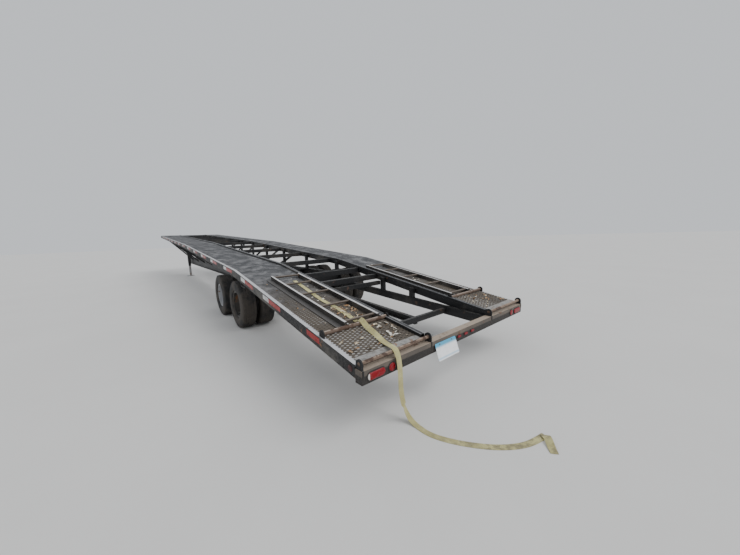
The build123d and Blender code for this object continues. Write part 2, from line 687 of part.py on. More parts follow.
def leaf_pack(x):
    """Left spring of one axle: leaves under each other, the longest with an eye at both ends."""
    radius = spring_radius()
    centre_z = spring_top() + radius
    pack = None
    for i, share in enumerate(LEAF_SHARES):
        outer, inner = radius + (i + 1) * LEAF, radius + i * LEAF
        half_angle = atan2(SPRING_HALF, radius - SPRING_CAMBER) * share
        points = []
        for r in (inner, outer):
            for a in (-half_angle, 0, half_angle):
                points.append((x + r * sin(a), MAIN_BEAM_Y - SPRING_WIDE / 2, centre_z - r * cos(a)))
        i0, i1, i2, o0, o1, o2 = points
        edges = [ThreePointArc(i0, i1, i2), Line(i2, o2), ThreePointArc(o2, o1, o0), Line(o0, i0)]
        leaf = extrude(make_face(edges), amount=SPRING_WIDE, dir=(0, 1, 0))
        pack = leaf if pack is None else pack + leaf
    for side in (-1, 1):
        ex, ez = eye_place(x, side)
        y0, y1 = MAIN_BEAM_Y - SPRING_WIDE / 2, MAIN_BEAM_Y + SPRING_WIDE / 2
        pack += bar_y(ex, ez, EYE_R, y0, y1)
    for side in (-1, 1):
        ex, ez = eye_place(x, side)
        pack -= bar_y(ex, ez, EYE_PIN_R + PIN_GAP, MAIN_BEAM_Y - SPRING_WIDE, MAIN_BEAM_Y + SPRING_WIDE)
    return pack


def eye_place(x, side):
    """Middle of a spring eye: side is 1 in front of the axle, -1 behind it."""
    return x + side * SPRING_HALF, spring_top() + SPRING_CAMBER + EYE_R / 2


def springs():
    """Springs of both axles and both sides."""
    return group([both_sides(leaf_pack(x)) for x in (REAR_AXLE_X, FRONT_AXLE_X)])


def hanger(x, pin_z, long):
    """Left hanger: two plates below the main beam and a pin through them."""
    gap = SPRING_WIDE / 2 + 2
    shape = None
    for side in (-1, 1):
        y0 = MAIN_BEAM_Y + side * gap
        y1 = y0 + side * HANGER_PLATE
        y0, y1 = min(y0, y1), max(y0, y1)
        plate = prism_y([(x - long / 2, MAIN_BEAM_BOTTOM), (x + long / 2, MAIN_BEAM_BOTTOM),
                         (x + 24, pin_z - 24), (x - 24, pin_z - 24)], y0, y1)
        shape = plate if shape is None else shape + plate
    reach = gap + HANGER_PLATE + 6
    return shape + bar_y(x, pin_z, EYE_PIN_R, MAIN_BEAM_Y - reach, MAIN_BEAM_Y + reach)


def equaliser_x():
    """Station of the equaliser pin, half way between the axles."""
    return (REAR_AXLE_X + FRONT_AXLE_X) / 2


def equaliser_pin_z():
    """Height of the equaliser pin, above the spring eyes it links."""
    return eye_place(0, 1)[1] + 50


def hangers():
    """Hangers at the outer spring ends and at the equaliser."""
    eye_z = eye_place(0, 1)[1]
    places = ((REAR_AXLE_X - SPRING_HALF, eye_z, HANGER_LONG), (FRONT_AXLE_X + SPRING_HALF, eye_z, HANGER_LONG),
              (equaliser_x(), equaliser_pin_z(), 2 * HANGER_LONG))
    return group([both_sides(hanger(x, z, long)) for x, z, long in places])


def equaliser():
    """Left equaliser: rocking beam on its pin, with a pin at each end for a spring eye."""
    x, z = equaliser_x(), equaliser_pin_z()
    eye_z = eye_place(0, 1)[1]
    half = SPRING_WIDE / 2
    tip = (FRONT_AXLE_X - SPRING_HALF) - x
    outline = [(x - tip - 20, eye_z + EYE_R + 12), (x - 30, z - 22), (x + 30, z - 22),
               (x + tip + 20, eye_z + EYE_R + 12), (x + tip + 20, eye_z + EYE_R + 26),
               (x + 34, z + 26), (x - 34, z + 26), (x - tip - 20, eye_z + EYE_R + 26)]
    rocker = prism_y(outline, MAIN_BEAM_Y - half, MAIN_BEAM_Y + half)
    rocker -= bar_y(x, z, EYE_PIN_R + PIN_GAP, MAIN_BEAM_Y - SPRING_WIDE, MAIN_BEAM_Y + SPRING_WIDE)
    for side in (-1, 1):
        px = x + side * tip
        for y0, y1 in ((-half - 10, -half - 2), (half + 2, half + 10)):
            ear = block(px - 18, px + 18, MAIN_BEAM_Y + y0, MAIN_BEAM_Y + y1, eye_z - 20, eye_z + EYE_R + 26)
            rocker += ear
        rocker += block(px - 18, px + 18, MAIN_BEAM_Y - half - 10, MAIN_BEAM_Y + half + 10,
                        eye_z + EYE_R + 12, eye_z + EYE_R + 26)
        rocker += bar_y(px, eye_z, EYE_PIN_R, MAIN_BEAM_Y - half - 14, MAIN_BEAM_Y + half + 14)
    return rocker


# Ramps

def bar_z():
    """Middle of the pivot bar above the deck line at its station."""
    return deck_z(BAR_X) + (DECK_SHEET + BAR_REST_GAP + BAR_R)


def ramp_bar():
    """Left pivot bar between its two lugs, which stand on the rails."""
    y0, y1 = TRACK_INNER + LUG_THICK / 2 + 8, HALF_WIDTH - RAIL_WALL - LUG_THICK / 2 - 8
    inner = lug(BAR_X, bar_z(), lambda x: deck_z(x) + DECK_SHEET, y0)
    outer = lug(BAR_X, bar_z(), deck_z, y1)
    bar = bar_y(BAR_X, bar_z(), BAR_R, y0, y1)
    return bar + inner + outer


def ramp():
    """Left ladder ramp, lying on the beaver tail and hooked over the pivot bar."""
    low = DECK_SHEET + RAMP_REST_GAP
    high = low + RAMP_RAIL_HIGH
    inner_y, outer_y = TRACK_INNER + RAMP_INSET, TRACK_INNER + RAMP_INSET + RAMP_SPACING
    body = None
    for y in (inner_y, outer_y):
        y0, y1 = y - RAMP_RAIL_WIDE / 2, y + RAMP_RAIL_WIDE / 2
        rail = prism_y(band(RAMP_REAR, RAMP_FRONT, high, low), y0, y1)
        body = rail if body is None else body + rail
        h0 = y - HOOK_THICK / 2
        body += hook(h0, h0 + HOOK_THICK)
    for x in RUNG_STATIONS:
        body += bar_y(x, deck_z(x) + RUNG_LOW, RUNG_R, inner_y, outer_y)
    return body


def hook(y0, y1):
    """Flat hook over the pivot bar, from the front of the bar over its top, with its shank."""
    r0, r1 = BAR_R + HOOK_GAP, BAR_R + HOOK_GAP + HOOK_WALL
    sweep_angle = radians(HOOK_SWEEP)

    def at(radius, angle):
        return (BAR_X + radius * cos(angle), y0, bar_z() + radius * sin(angle))

    half = sweep_angle / 2
    edges = [Line(at(r0, 0), at(r1, 0)), ThreePointArc(at(r1, 0), at(r1, half), at(r1, sweep_angle)),
             Line(at(r1, sweep_angle), at(r0, sweep_angle)),
             ThreePointArc(at(r0, sweep_angle), at(r0, half), at(r0, 0))]
    curl = extrude(make_face(edges), amount=y1 - y0, dir=(0, 1, 0))
    reach = RAMP_REAR + 30 - BAR_X
    rise = reach * (KNEE_Z - REAR_DECK_Z) / KNEE_X
    x0, z0 = BAR_X + r0, bar_z()
    shank = prism_y([(x0, z0), (BAR_X + reach, z0 + rise), (BAR_X + reach, z0 + rise + 20),
                     (BAR_X + r1 * cos(0.6), z0 + r1 * sin(0.6)), (x0 + 4, z0 + 10)], y0, y1)
    return curl + shank


# Lamps, plate, loops

def oval_lens(y):
    """Oval tail lamp."""
    wide, high = OVAL_LENS
    face = Plane(origin=(0, y, LENS_Z), x_dir=(0, 1, 0), z_dir=(-1, 0, 0)) * SlotOverall(wide, high)
    return extrude(face, amount=LENS_PROUD)


def round_lens(y):
    """Round lamp beside the oval one."""
    face = Plane(origin=(0, y, LENS_Z), x_dir=(0, 1, 0), z_dir=(-1, 0, 0)) * Circle(ROUND_LENS_R)
    return extrude(face, amount=LENS_PROUD)


def lamps():
    """All lamps on the rear beam."""
    shapes = [both_sides(oval_lens(OVAL_LENS_Y)), both_sides(round_lens(ROUND_LENS_Y))]
    wide, high = SMALL_LENS
    for y in SMALL_LENS_Y:
        shapes.append(block(-LENS_PROUD, 0, y - wide / 2, y + wide / 2, LENS_Z - high / 2, LENS_Z + high / 2))
    return group(shapes)


def markers():
    """Round side markers near the rear corners."""
    z = deck_z(MARKER_X) - OUTER_RAIL_DEPTH / 2
    return both_sides(bar_y(MARKER_X, z, MARKER_R, HALF_WIDTH, HALF_WIDTH + MARKER_PROUD))


def plate():
    """Blank number plate, bent out at its foot, on a tab below the rear beam's face."""
    wide, high = PLATE
    tilt = radians(PLATE_TILT)
    top = (-PLATE_THICK, PLATE_TOP_Z)
    foot = (top[0] - high * sin(tilt), top[1] - high * cos(tilt))
    across = (PLATE_THICK * cos(tilt), -PLATE_THICK * sin(tilt))
    outline = [top, foot, (foot[0] + across[0], foot[1] + across[1]), (top[0] + across[0], top[1] + across[1])]
    sheet = prism_y(outline, PLATE_Y - wide / 2, PLATE_Y + wide / 2)
    tab = prism_y([(0, PLATE_TOP_Z - 2), (0, PLATE_TOP_Z - PLATE_TAB), (top[0] - 4, PLATE_TOP_Z - PLATE_TAB + 6),
                   (top[0] + 1.2, PLATE_TOP_Z - 2)], PLATE_Y - 40, PLATE_Y + 40)
    return sheet + tab


def rear_reach():
    """How far the plate's foot stands out behind the rear beam."""
    return PLATE_THICK + PLATE[1] * sin(radians(PLATE_TILT))


def loops():
    """Rod loops below the outer rails, behind the rear wheels."""
    y = HALF_WIDTH - OUTER_RAIL_FLANGE / 2
    x0, x1 = LOOP_X, LOOP_X + LOOP_LONG
    z0 = deck_z(x0) - OUTER_RAIL_DEPTH + 2
    z1 = deck_z(x1) - OUTER_RAIL_DEPTH + 2
    low = z0 - LOOP_DROP
    path = FilletPolyline((x0, y, z0), (x0, y, low), (x1, y, low + 20), (x1, y, z1), radius=18)
    rod = sweep(Plane(path @ 0, z_dir=path % 0) * Circle(LOOP_R), path)
    trim = prism_y(band(x0 - 40, x1 + 40, 0, -OUTER_RAIL_DEPTH), y - 30, y + 30)
    return both_sides(rod - trim)


# Strap

def corner_radii(points):
    """Fillet radius at each corner: 0.45 of the shorter run over the tangent of half the turn."""
    radii = []
    for a, b, c in zip(points, points[1:], points[2:]):
        first = (b[0] - a[0], b[1] - a[1])
        second = (c[0] - b[0], c[1] - b[1])
        cross = first[0] * second[1] - first[1] * second[0]
        dot = first[0] * second[0] + first[1] * second[1]
        turn = abs(atan2(cross, dot))
        radii.append(0.45 * min(hypot(*first), hypot(*second)) / tan(turn / 2))
    return radii


def above_deck(x, rise):
    """Height of the strap's middle over the deck sheet at station x."""
    return deck_z(x) + DECK_SHEET + STRAP_THICK / 2 + rise


def strap_run_points():
    """Middle of the upright part: (station, height) from under the ramp to the ground."""
    over_bar = bar_z() + BAR_R + STRAP_THICK / 2 + 2.5
    over_rear = rear_bar_z() + REAR_BAR_R + STRAP_THICK / 2 + 2.5
    ground = STRAP_THICK / 2 + FLOOR_GAP
    return [(2100.0, above_deck(2100.0, 1)), (1700.0, above_deck(1700.0, 5)), (1260.0, above_deck(1260.0, 1)),
            (900.0, above_deck(900.0, 3)), (700.0, above_deck(700.0, 1.5)), (596.0, above_deck(596.0, 4)),
            (570.0, over_bar), (522.0, over_bar - 4), (470.0, above_deck(470.0, 4)),
            (330.0, above_deck(330.0, 1)), (170.0, above_deck(170.0, 5)), (64.0, over_rear + 5), (12.0, over_rear + 3),
            (-26.0, 525.0), (-34.0, 400.0), (-24.0, 250.0), (-40.0, 120.0), (-82.0, 34.0), (-140.0, ground),
            (-230.0, ground)]


def strap_run():
    """The strap's upright part, turned to its slant."""
    points = strap_run_points()
    radii = corner_radii(points)
    print("strap run radii", [round(r) for r in radii])
    path = FilletPolyline(*[(x, 0, z) for x, z in points], radius=radii)
    section = Plane(path @ 0, x_dir=(0, 1, 0), z_dir=path % 0) * Rectangle(STRAP_WIDE, STRAP_THICK)
    ribbon = sweep(section, path)
    print("strap run length", round(path.length), "volume share",
          round(ribbon.volume / (path.length * STRAP_WIDE * STRAP_THICK), 4))
    return Pos(0, STRAP_Y, 0) * Rot(0, 0, degrees(atan(STRAP_SLANT))) * ribbon


def strap_tail_start():
    """Plan position and direction where the ground part begins."""
    last = strap_run_points()[-1][0]
    angle = atan(STRAP_SLANT)
    return (last * cos(angle), STRAP_Y + last * sin(angle)), (-cos(angle), -sin(angle))


def strap_tail():
    """The strap's part that lies flat on the ground."""
    (x, y), (dx, dy) = strap_tail_start()
    ahead = 70.0
    points = [(x, y), (x + ahead * dx, y + ahead * dy), (-420.0, 930.0), (-530.0, 860.0), (-625.0, 765.0),
              (-705.0, 650.0), (-775.0, 520.0), (-820.0, 400.0), (-835.0, 300.0)]
    radii = corner_radii(points)
    print("strap tail radii", [round(r) for r in radii])
    z = STRAP_THICK / 2 + FLOOR_GAP
    path = FilletPolyline(*[(px, py, z) for px, py in points], radius=radii)
    section = Plane(path @ 0, x_dir=(0, 0, 1), z_dir=path % 0) * Rectangle(STRAP_THICK, STRAP_WIDE)
    ribbon = sweep(section, path)
    print("strap tail length", round(path.length), "volume share",
          round(ribbon.volume / (path.length * STRAP_WIDE * STRAP_THICK), 4))
    return ribbon


def at_axle(shape, x):
    """A piece drawn about the axle line, put at its axle."""
    return Pos(x, 0, TYRE_R) * shape


NODES = {
    "outer_rail_left": outer_rail(),
    "outer_rail_right": mirrored(outer_rail()),
    "inner_rails": both_sides(inner_rail()),
    "rear_beam": rear_beam(),
    "rear_bars": rear_bars(),
    "nose_beam": nose_beam(),
    "track_members": track_members(),
    "centre_members": centre_members(),
    "deck_left": deck(),
    "deck_right": mirrored(deck()),
    "main_beams": both_sides(main_beam()),
    "rear_chords": both_sides(rear_chord()),
    "lower_members": lower_members(),
    "lower_braces": lower_braces(),
    "posts": posts(),
    "outriggers": outriggers(),
    "neck": both_sides(neck()),
    "coupler_beam": coupler_beam(),
    "coupler": coupler(),
    "jack_tubes": jack_tubes(),
    "jack_legs": jack_legs(),
    "springs": springs(),
    "hangers": hangers(),
    "equalisers": both_sides(equaliser()),
    "ramp_bars": both_sides(ramp_bar()),
    "ramp_left": ramp(),
    "ramp_right": mirrored(ramp()),
    "lamps": lamps(),
    "markers": markers(),
    "plate": plate(),
    "loops": loops(),
    "strap_run": strap_run(),
    "strap_tail": strap_tail(),
}
for name, station in (("rear", REAR_AXLE_X), ("front", FRONT_AXLE_X)):
    NODES[f"axle_{name}"] = axle(station)
    NODES[f"tyres_{name}_left"] = at_axle(tyres(), station)
    NODES[f"tyres_{name}_right"] = at_axle(mirrored(tyres()), station)
    NODES[f"wheel_{name}_left"] = at_axle(wheel(), station)
    NODES[f"wheel_{name}_right"] = at_axle(mirrored(wheel()), station)

MIDDLE = (NOSE - rear_reach()) / 2
for node, shape in NODES.items():
    export_step(Pos(-MIDDLE, 0, 0) * shape, f"parts/{node}.step")
print("middle station", round(MIDDLE, 3))
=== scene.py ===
"""Looks of a two-track car transporter trailer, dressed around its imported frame.

Lengths are metres. Stations run forward from the rear beam's face and become x in DeckLine.x.
"""
import logging
from dataclasses import dataclass
from enum import Enum
from functools import cached_property
from math import cos, pi, radians, sin, tau
from typing import Callable, Iterable, Sequence

import bmesh
import bpy
from mathutils import Matrix, Vector


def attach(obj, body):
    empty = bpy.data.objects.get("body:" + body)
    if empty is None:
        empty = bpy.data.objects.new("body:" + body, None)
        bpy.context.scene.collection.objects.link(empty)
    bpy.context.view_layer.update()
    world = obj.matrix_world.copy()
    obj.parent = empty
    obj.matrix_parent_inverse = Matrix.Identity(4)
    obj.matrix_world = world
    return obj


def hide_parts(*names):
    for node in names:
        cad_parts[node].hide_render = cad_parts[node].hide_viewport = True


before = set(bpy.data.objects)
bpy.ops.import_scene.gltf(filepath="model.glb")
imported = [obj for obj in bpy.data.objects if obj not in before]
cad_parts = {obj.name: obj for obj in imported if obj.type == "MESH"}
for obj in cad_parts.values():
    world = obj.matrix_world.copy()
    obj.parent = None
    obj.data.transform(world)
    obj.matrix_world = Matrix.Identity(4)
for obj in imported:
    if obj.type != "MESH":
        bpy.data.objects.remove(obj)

LOG = logging.getLogger("trailer")
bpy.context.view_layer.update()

Pair = tuple[float, float]
Point = tuple[float, float, float]
Colour = tuple[float, float, float]
Put = Callable[[float, float, float], Point]     # turns (across, up, out) into a place in the model
Material = bpy.types.Material
Mesh = bpy.types.Mesh
Socket = bpy.types.NodeSocket

SIDES = {1: "left", -1: "right"}
BOTH = tuple(SIDES)
SHARP = 35.0             # edges sharper than this many degrees stay sharp


class Axle(Enum):
    """The two axles, by the name that their bodies carry."""

    REAR = "rear"
    FRONT = "front"


@dataclass(frozen=True)
class DeckLine:
    """Rail tops seen from the side: three straight slopes."""

    middle: float = 8.024257         # station of the model's origin
    corners: tuple[Pair, ...] = ((0.0, 0.532), (3.0, 0.999), (8.0, 1.372), (16.1, 1.802))
    sheet: float = 0.006             # thickness of the deck's mesh

    def x(self, station: float) -> float:
        """Model x of a station."""
        return station - self.middle

    def slopes(self) -> list[float]:
        """Rise per metre of each stretch."""
        return [(z1 - z0) / (s1 - s0) for (s0, z0), (s1, z1) in zip(self.corners, self.corners[1:])]

    def z(self, station: float) -> float:
        """Height of the rail tops at a station: the lowest of the three lines, since each is flatter."""
        return min(z + rise * (station - s) for (s, z), rise in zip(self.corners, self.slopes()))

    def intercepts(self) -> list[float]:
        """Height of each stretch's line at x = 0."""
        return [z + rise * (self.middle - s) for (s, z), rise in zip(self.corners, self.slopes())]


DECK = DeckLine()


# Meshes


class Shape:
    """Vertices and faces that grow form by form and end as one mesh."""

    def __init__(self) -> None:
        self.verts: list[Point] = []
        self.faces: list[tuple[int, ...]] = []
        self.uvs: list[Pair] = []

    def add(self, verts: Iterable[Point], faces: Iterable[Sequence[int]]) -> None:
        """Adds vertices, and faces that count from the first of them."""
        base = len(self.verts)
        self.verts += [tuple(v) for v in verts]
        self.faces += [tuple(base + i for i in face) for face in faces]

    def box(self, low: Point, high: Point) -> None:
        """Adds a block between two corners."""
        (x0, y0, z0), (x1, y1, z1) = low, high
        self.add([(x0, y0, z0), (x1, y0, z0), (x1, y1, z0), (x0, y1, z0),
                  (x0, y0, z1), (x1, y0, z1), (x1, y1, z1), (x0, y1, z1)],
                 [(0, 3, 2, 1), (4, 5, 6, 7), (0, 1, 5, 4), (1, 2, 6, 5), (2, 3, 7, 6), (3, 0, 4, 7)])

    def loft(self, rings: Sequence[Sequence[Point]], closed: bool = False) -> None:
        """Adds a skin through rings of equal length.

        Args:
            rings: point rings, each closed on itself.
            closed: whether the last ring joins the first; if not, both ends are filled.
        """
        n = len(rings[0])
        faces: list[tuple[int, ...]] = []
        for r in range(len(rings) if closed else len(rings) - 1):
            a, b = r * n, (r + 1) % len(rings) * n
            faces += [(a + i, a + (i + 1) % n, b + (i + 1) % n, b + i) for i in range(n)]
        if not closed:
            faces += [tuple(reversed(range(n))), tuple(range((len(rings) - 1) * n, len(rings) * n))]
        self.add([p for ring in rings for p in ring], faces)

    def along_deck(self, section: Iterable[Pair], stations: Iterable[float], side: int) -> None:
        """Adds a bar that follows the deck line.

        Args:
            section: outline of (y, height over the deck line).
            stations: where the bar has a corner or an end.
            side: 1 is left, -1 is right.
        """
        self.loft([[(DECK.x(s), side * y, DECK.z(s) + h) for y, h in section] for s in stations])

    def revolve(self, profile: Sequence[Pair], centre: Point, segments: int) -> None:
        """Adds a closed (radius, y) profile turned about the y axis through the centre."""
        cx, cy, cz = centre
        turns = [tau * i / segments for i in range(segments)]
        self.loft([[(cx + r * cos(a), cy + y, cz + r * sin(a)) for r, y in profile] for a in turns], closed=True)

    def tube(self, path: Sequence[Point], radius: float, sides: int, closed: bool = False) -> None:
        """Adds a round bar along a path, without twist.

        Args:
            path: points along its middle.
            radius: its radius.
            sides: corners of its section.
            closed: whether its end joins its start.
        """
        points = [Vector(p) for p in path]
        count = len(points)
        rings = []
        across = Vector((0, 0, 1))
        for i, p in enumerate(points):
            before = points[i - 1] if closed or i else p
            after = points[(i + 1) % count] if closed or i < count - 1 else p
            ahead = (after - before).normalized()
            if abs(across.dot(ahead)) > 0.95:
                across = Vector((1, 0, 0))
            across = (across - ahead * across.dot(ahead)).normalized()
            other = ahead.cross(across)
            rings.append([p + across * radius * cos(tau * k / sides) + other * radius * sin(tau * k / sides)
                          for k in range(sides)])
        self.loft(rings, closed)

    def mesh(self, name: str, smooth: float = SHARP) -> Mesh:
        """Turns the shape into a mesh.

        Args:
            name: the mesh's name.
            smooth: edges sharper than this many degrees stay sharp.

        Returns:
            The mesh, merged, with its faces pointing outwards.
        """
        mesh = bpy.data.meshes.new(name)
        mesh.from_pydata(self.verts, [], self.faces)
        if self.uvs:
            layer = mesh.uv_layers.new(name="along")
            for loop in mesh.loops:
                layer.data[loop.index].uv = self.uvs[loop.vertex_index]
        work = bmesh.new()
        work.from_mesh(mesh)
        bmesh.ops.remove_doubles(work, verts=work.verts, dist=1e-6)
        bmesh.ops.recalc_face_normals(work, faces=work.faces)
        work.to_mesh(mesh)
        work.free()
        mesh.shade_smooth()
        mesh.set_sharp_from_angle(angle=radians(smooth))
        return mesh


def rectangle(y0: float, y1: float, z0: float, z1: float) -> list[Pair]:
    """Outline of a rectangle from its limits."""
    return [(y0, z0), (y1, z0), (y1, z1), (y0, z1)]


def polygon(x: float, y: float, z: float, radius: float, corners: int) -> list[Point]:
    """Ring of corners about a place, square to the y axis."""
    turns = [tau * k / corners for k in range(corners)]
    return [(x + radius * cos(a), y, z + radius * sin(a)) for a in turns]


def slot_ring(wide: float, high: float, round_by: float, steps: int = 8) -> list[Pair]:
    """Outline of a rectangle with round corners about the origin.

    Args:
        wide: full width.
        high: full height.
        round_by: corner radius.
        steps: points on each corner.

    Returns:
        The outline's points, once around.
    """
    ring = []
    for quarter in range(4):
        cx = (wide / 2 - round_by) * (1 if quarter in (0, 3) else -1)
        cy = (high / 2 - round_by) * (1 if quarter in (0, 1) else -1)
        for k in range(steps + 1):
            a = pi / 2 * (quarter + k / steps)
            ring.append((cx + round_by * cos(a), cy + round_by * sin(a)))
    return ring


# Node trees


class Nodes:
    """A node tree with short calls that add and join its nodes."""

    def __init__(self, tree: bpy.types.NodeTree) -> None:
        self.tree = tree

    def add(self, kind: str, feeds: dict | None = None, **settings: object) -> bpy.types.Node:
        """Adds a node.

        Args:
            kind: Blender's name for the node.
            feeds: what goes into its sockets, by name or number: another socket, a value or a colour.
            settings: properties set on the node first.

        Returns:
            The new node.
        """
        node = self.tree.nodes.new(kind)
        for key, value in settings.items():
            setattr(node, key, value)
        for key, source in (feeds or {}).items():
            socket = node.inputs[key]
            if isinstance(source, Socket):
                self.tree.links.new(source, socket)
            else:
                socket.default_value = (*source, 1.0) if socket.type == "RGBA" else source
        return node

    def out(self, kind: str, feeds: dict | None = None, **settings: object) -> Socket:
        """First output of a new node."""
        return self.add(kind, feeds, **settings).outputs[0]

    def math(self, operation: str, *feeds: object, clamp: bool = False) -> Socket:
        """Result of a Math node."""
        return self.out("ShaderNodeMath", dict(enumerate(feeds)), operation=operation, use_clamp=clamp)

    def times(self, first: object, second: object) -> Socket:
        """Product of two values."""
        return self.math("MULTIPLY", first, second)

    def combine(self, **parts: object) -> Socket:
        """Vector of the parts X, Y and Z."""
        return self.out("ShaderNodeCombineXYZ", parts)

    def part(self, vector: Socket, axis: str) -> Socket:
        """The X, Y or Z of a vector."""
        return self.add("ShaderNodeSeparateXYZ", {0: vector}).outputs[axis]

    def coords(self, kind: str = "Object") -> Socket:
        """Texture coordinates of one kind."""
        return self.add("ShaderNodeTexCoord").outputs[kind]

    def ramp(self, value: Socket, low: object, high: object, to_low: float = 0.0, to_high: float = 1.0) -> Socket:
        """Value mapped from low..high to to_low..to_high, clamped."""
        feeds = {"Value": value, "From Min": low, "From Max": high, "To Min": to_low, "To Max": to_high}
        return self.out("ShaderNodeMapRange", feeds, interpolation_type="SMOOTHSTEP")


class Grouped(Nodes):
    """A node group with named inputs and outputs."""

    def __init__(self, name: str, kind: str = "ShaderNodeTree") -> None:
        super().__init__(bpy.data.node_groups.new(name, kind))
        self.entry = self.tree.nodes.new("NodeGroupInput")
        self.exit = self.tree.nodes.new("NodeGroupOutput")
        self.keys: dict[str, str] = {}

    def takes(self, label: str, default: object = None, kind: str = "NodeSocketFloat") -> Socket:
        """Makes a named input.

        Args:
            label: its name.
            default: its value, where it has one.
            kind: Blender's name for its type.

        Returns:
            The socket that carries it.
        """
        item = self.tree.interface.new_socket(label, in_out="INPUT", socket_type=kind)
        if default is not None:
            item.default_value = default
        self.keys[label] = item.identifier
        return self.entry.outputs[label]

    def gives(self, label: str, source: Socket, kind: str = "NodeSocketFloat") -> None:
        """Makes a named output fed by a socket."""
        self.tree.interface.new_socket(label, in_out="OUTPUT", socket_type=kind)
        self.tree.links.new(source, self.exit.inputs[label])


class Effects:
    """Shader node groups that several finishes share."""

    @cached_property
    def patches(self) -> bpy.types.NodeTree:
        """Mask of cloudy patches: Scale, Cover from 0 to 1, Edge."""
        group = Grouped("patches")
        scale, cover, edge = group.takes("Scale", 5.0), group.takes("Cover", 0.4), group.takes("Edge", 0.1)
        feeds = {"Vector": group.coords(), "Scale": scale, "Detail": 6.0, "Roughness": 0.65}
        spread = group.ramp(group.out("ShaderNodeTexNoise", feeds), 0.25, 0.75)
        level = group.math("SUBTRACT", 1.0, cover)
        low, high = group.math("SUBTRACT", level, edge), group.math("ADD", level, edge)
        group.gives("Mask", group.ramp(spread, low, high))
        return group.tree

    @cached_property
    def upward(self) -> bpy.types.NodeTree:
        """Mask of faces that look up: From is the normal's z where it begins."""
        group = Grouped("upward")
        start = group.takes("From", 0.8)
        height = group.part(group.coords("Normal"), "Z")
        group.gives("Mask", group.ramp(height, start, group.math("ADD", start, 0.15)))
        return group.tree

    @cached_property
    def speckle(self) -> bpy.types.NodeTree:
        """Fine noise for grain: Scale."""
        group = Grouped("speckle")
        feeds = {"Vector": group.coords(), "Scale": group.takes("Scale", 60.0), "Detail": 3.0}
        group.gives("Value", group.out("ShaderNodeTexNoise", feeds))
        return group.tree

    @cached_property
    def reach(self) -> bpy.types.NodeTree:
        """Mask of a stretch along one axis: Value, Low, High, Edge."""
        group = Grouped("reach")
        value, low = group.takes("Value", 0.0), group.takes("Low", 0.0)
        high, edge = group.takes("High", 1.0), group.takes("Edge", 0.01)
        rise = group.ramp(value, group.math("SUBTRACT", low, edge), low)
        fall = group.ramp(value, high, group.math("ADD", high, edge))
        group.gives("Mask", group.math("SUBTRACT", rise, fall, clamp=True))
        return group.tree


EFFECTS = Effects()


class Finish(Nodes):
    """A material under construction, with one Principled shader."""

    def __init__(self, name: str) -> None:
        self.material = bpy.data.materials.new(name)
        self.material.use_nodes = True
        super().__init__(self.material.node_tree)
        self.shader = self.tree.nodes["Principled BSDF"]

    def fix(self, label: str, value: float) -> None:
        """Sets one of the shader's sockets to a constant."""
        self.shader.inputs[label].default_value = value

    def feed(self, label: str, source: Socket) -> None:
        """Joins a socket to one of the shader's."""
        self.tree.links.new(source, self.shader.inputs[label])

    def effect(self, tree: bpy.types.NodeTree, **values: object) -> Socket:
        """Output of a shared group placed with its own values."""
        return self.out("ShaderNodeGroup", values, node_tree=tree)

    def patches(self, scale: float, cover: float, edge: float) -> Socket:
        """Mask of cloudy patches; cover runs from 0 to 1."""
        return self.effect(EFFECTS.patches, Scale=scale, Cover=cover, Edge=edge)

    def upward(self, start: float) -> Socket:
        """Mask of faces that look up; start is the normal's z where it begins."""
        return self.effect(EFFECTS.upward, From=start)

    def grain(self, scale: float) -> Socket:
        """Fine noise."""
        return self.effect(EFFECTS.speckle, Scale=scale)

    def cells(self, scale: float, randomness: float) -> Socket:
        """Distance to the middle of a cell pattern's nearest cell."""
        feeds = {"Vector": self.coords(), "Scale": scale, "Randomness": randomness}
        return self.add("ShaderNodeTexVoronoi", feeds).outputs["Distance"]

    def along(self, axis: str) -> Socket:
        """One coordinate of the piece's own flat layout."""
        return self.part(self.out("ShaderNodeUVMap", uv_map="along"), axis)

    def mix(self, share: object, first: object, second: object) -> Socket:
        """Colour between first and second; a plain colour may stand for either."""
        return self.add("ShaderNodeMix", {0: share, 6: first, 7: second}, data_type="RGBA").outputs[2]

    def bump(self, height: Socket, distance: float) -> None:
        """Bump that feeds the shader's normal."""
        self.feed("Normal", self.out("ShaderNodeBump", {"Height": height, "Distance": distance, "Strength": 1.0}))


# Finishes


def shade(colour: Colour, by: float) -> Colour:
    """A colour made lighter or darker."""
    return tuple(c * by for c in colour)


@dataclass(frozen=True)
class Look:
    """A finish; each kind of it says how it is painted."""

    name: str

    def paint(self, finish: Finish) -> None:
        """Feeds the finish's shader."""
        raise NotImplementedError

    def material(self) -> Material:
        """The finished material."""
        finish = Finish(self.name)
        self.paint(finish)
        return finish.material


@dataclass(frozen=True)
class Zone:
    """Stretch along one axis that has its own colour; y is the distance from the middle."""

    axis: str
    low: float
    high: float
    colour: Colour
    share: float = 1.0
    edge: float = 0.002
    upward: bool = False             # whether only faces that look up have it

    def over(self, finish: Finish, colour: Socket) -> Socket:
        """Lays the zone over a colour.

        Args:
            finish: the finish it belongs to.
            colour: the colour below.

        Returns:
            The colour with the zone.
        """
        value = finish.part(finish.coords(), self.axis)
        if self.axis == "Y":
            value = finish.math("ABSOLUTE", value)
        mask = finish.effect(EFFECTS.reach, Value=value, Low=self.low, High=self.high, Edge=self.edge)
        if self.upward:
            mask = finish.times(mask, finish.upward(0.6))
        tone = finish.mix(finish.grain(45.0), shade(self.colour, 0.6), shade(self.colour, 1.5))
        return finish.mix(finish.times(mask, self.share), colour, tone)


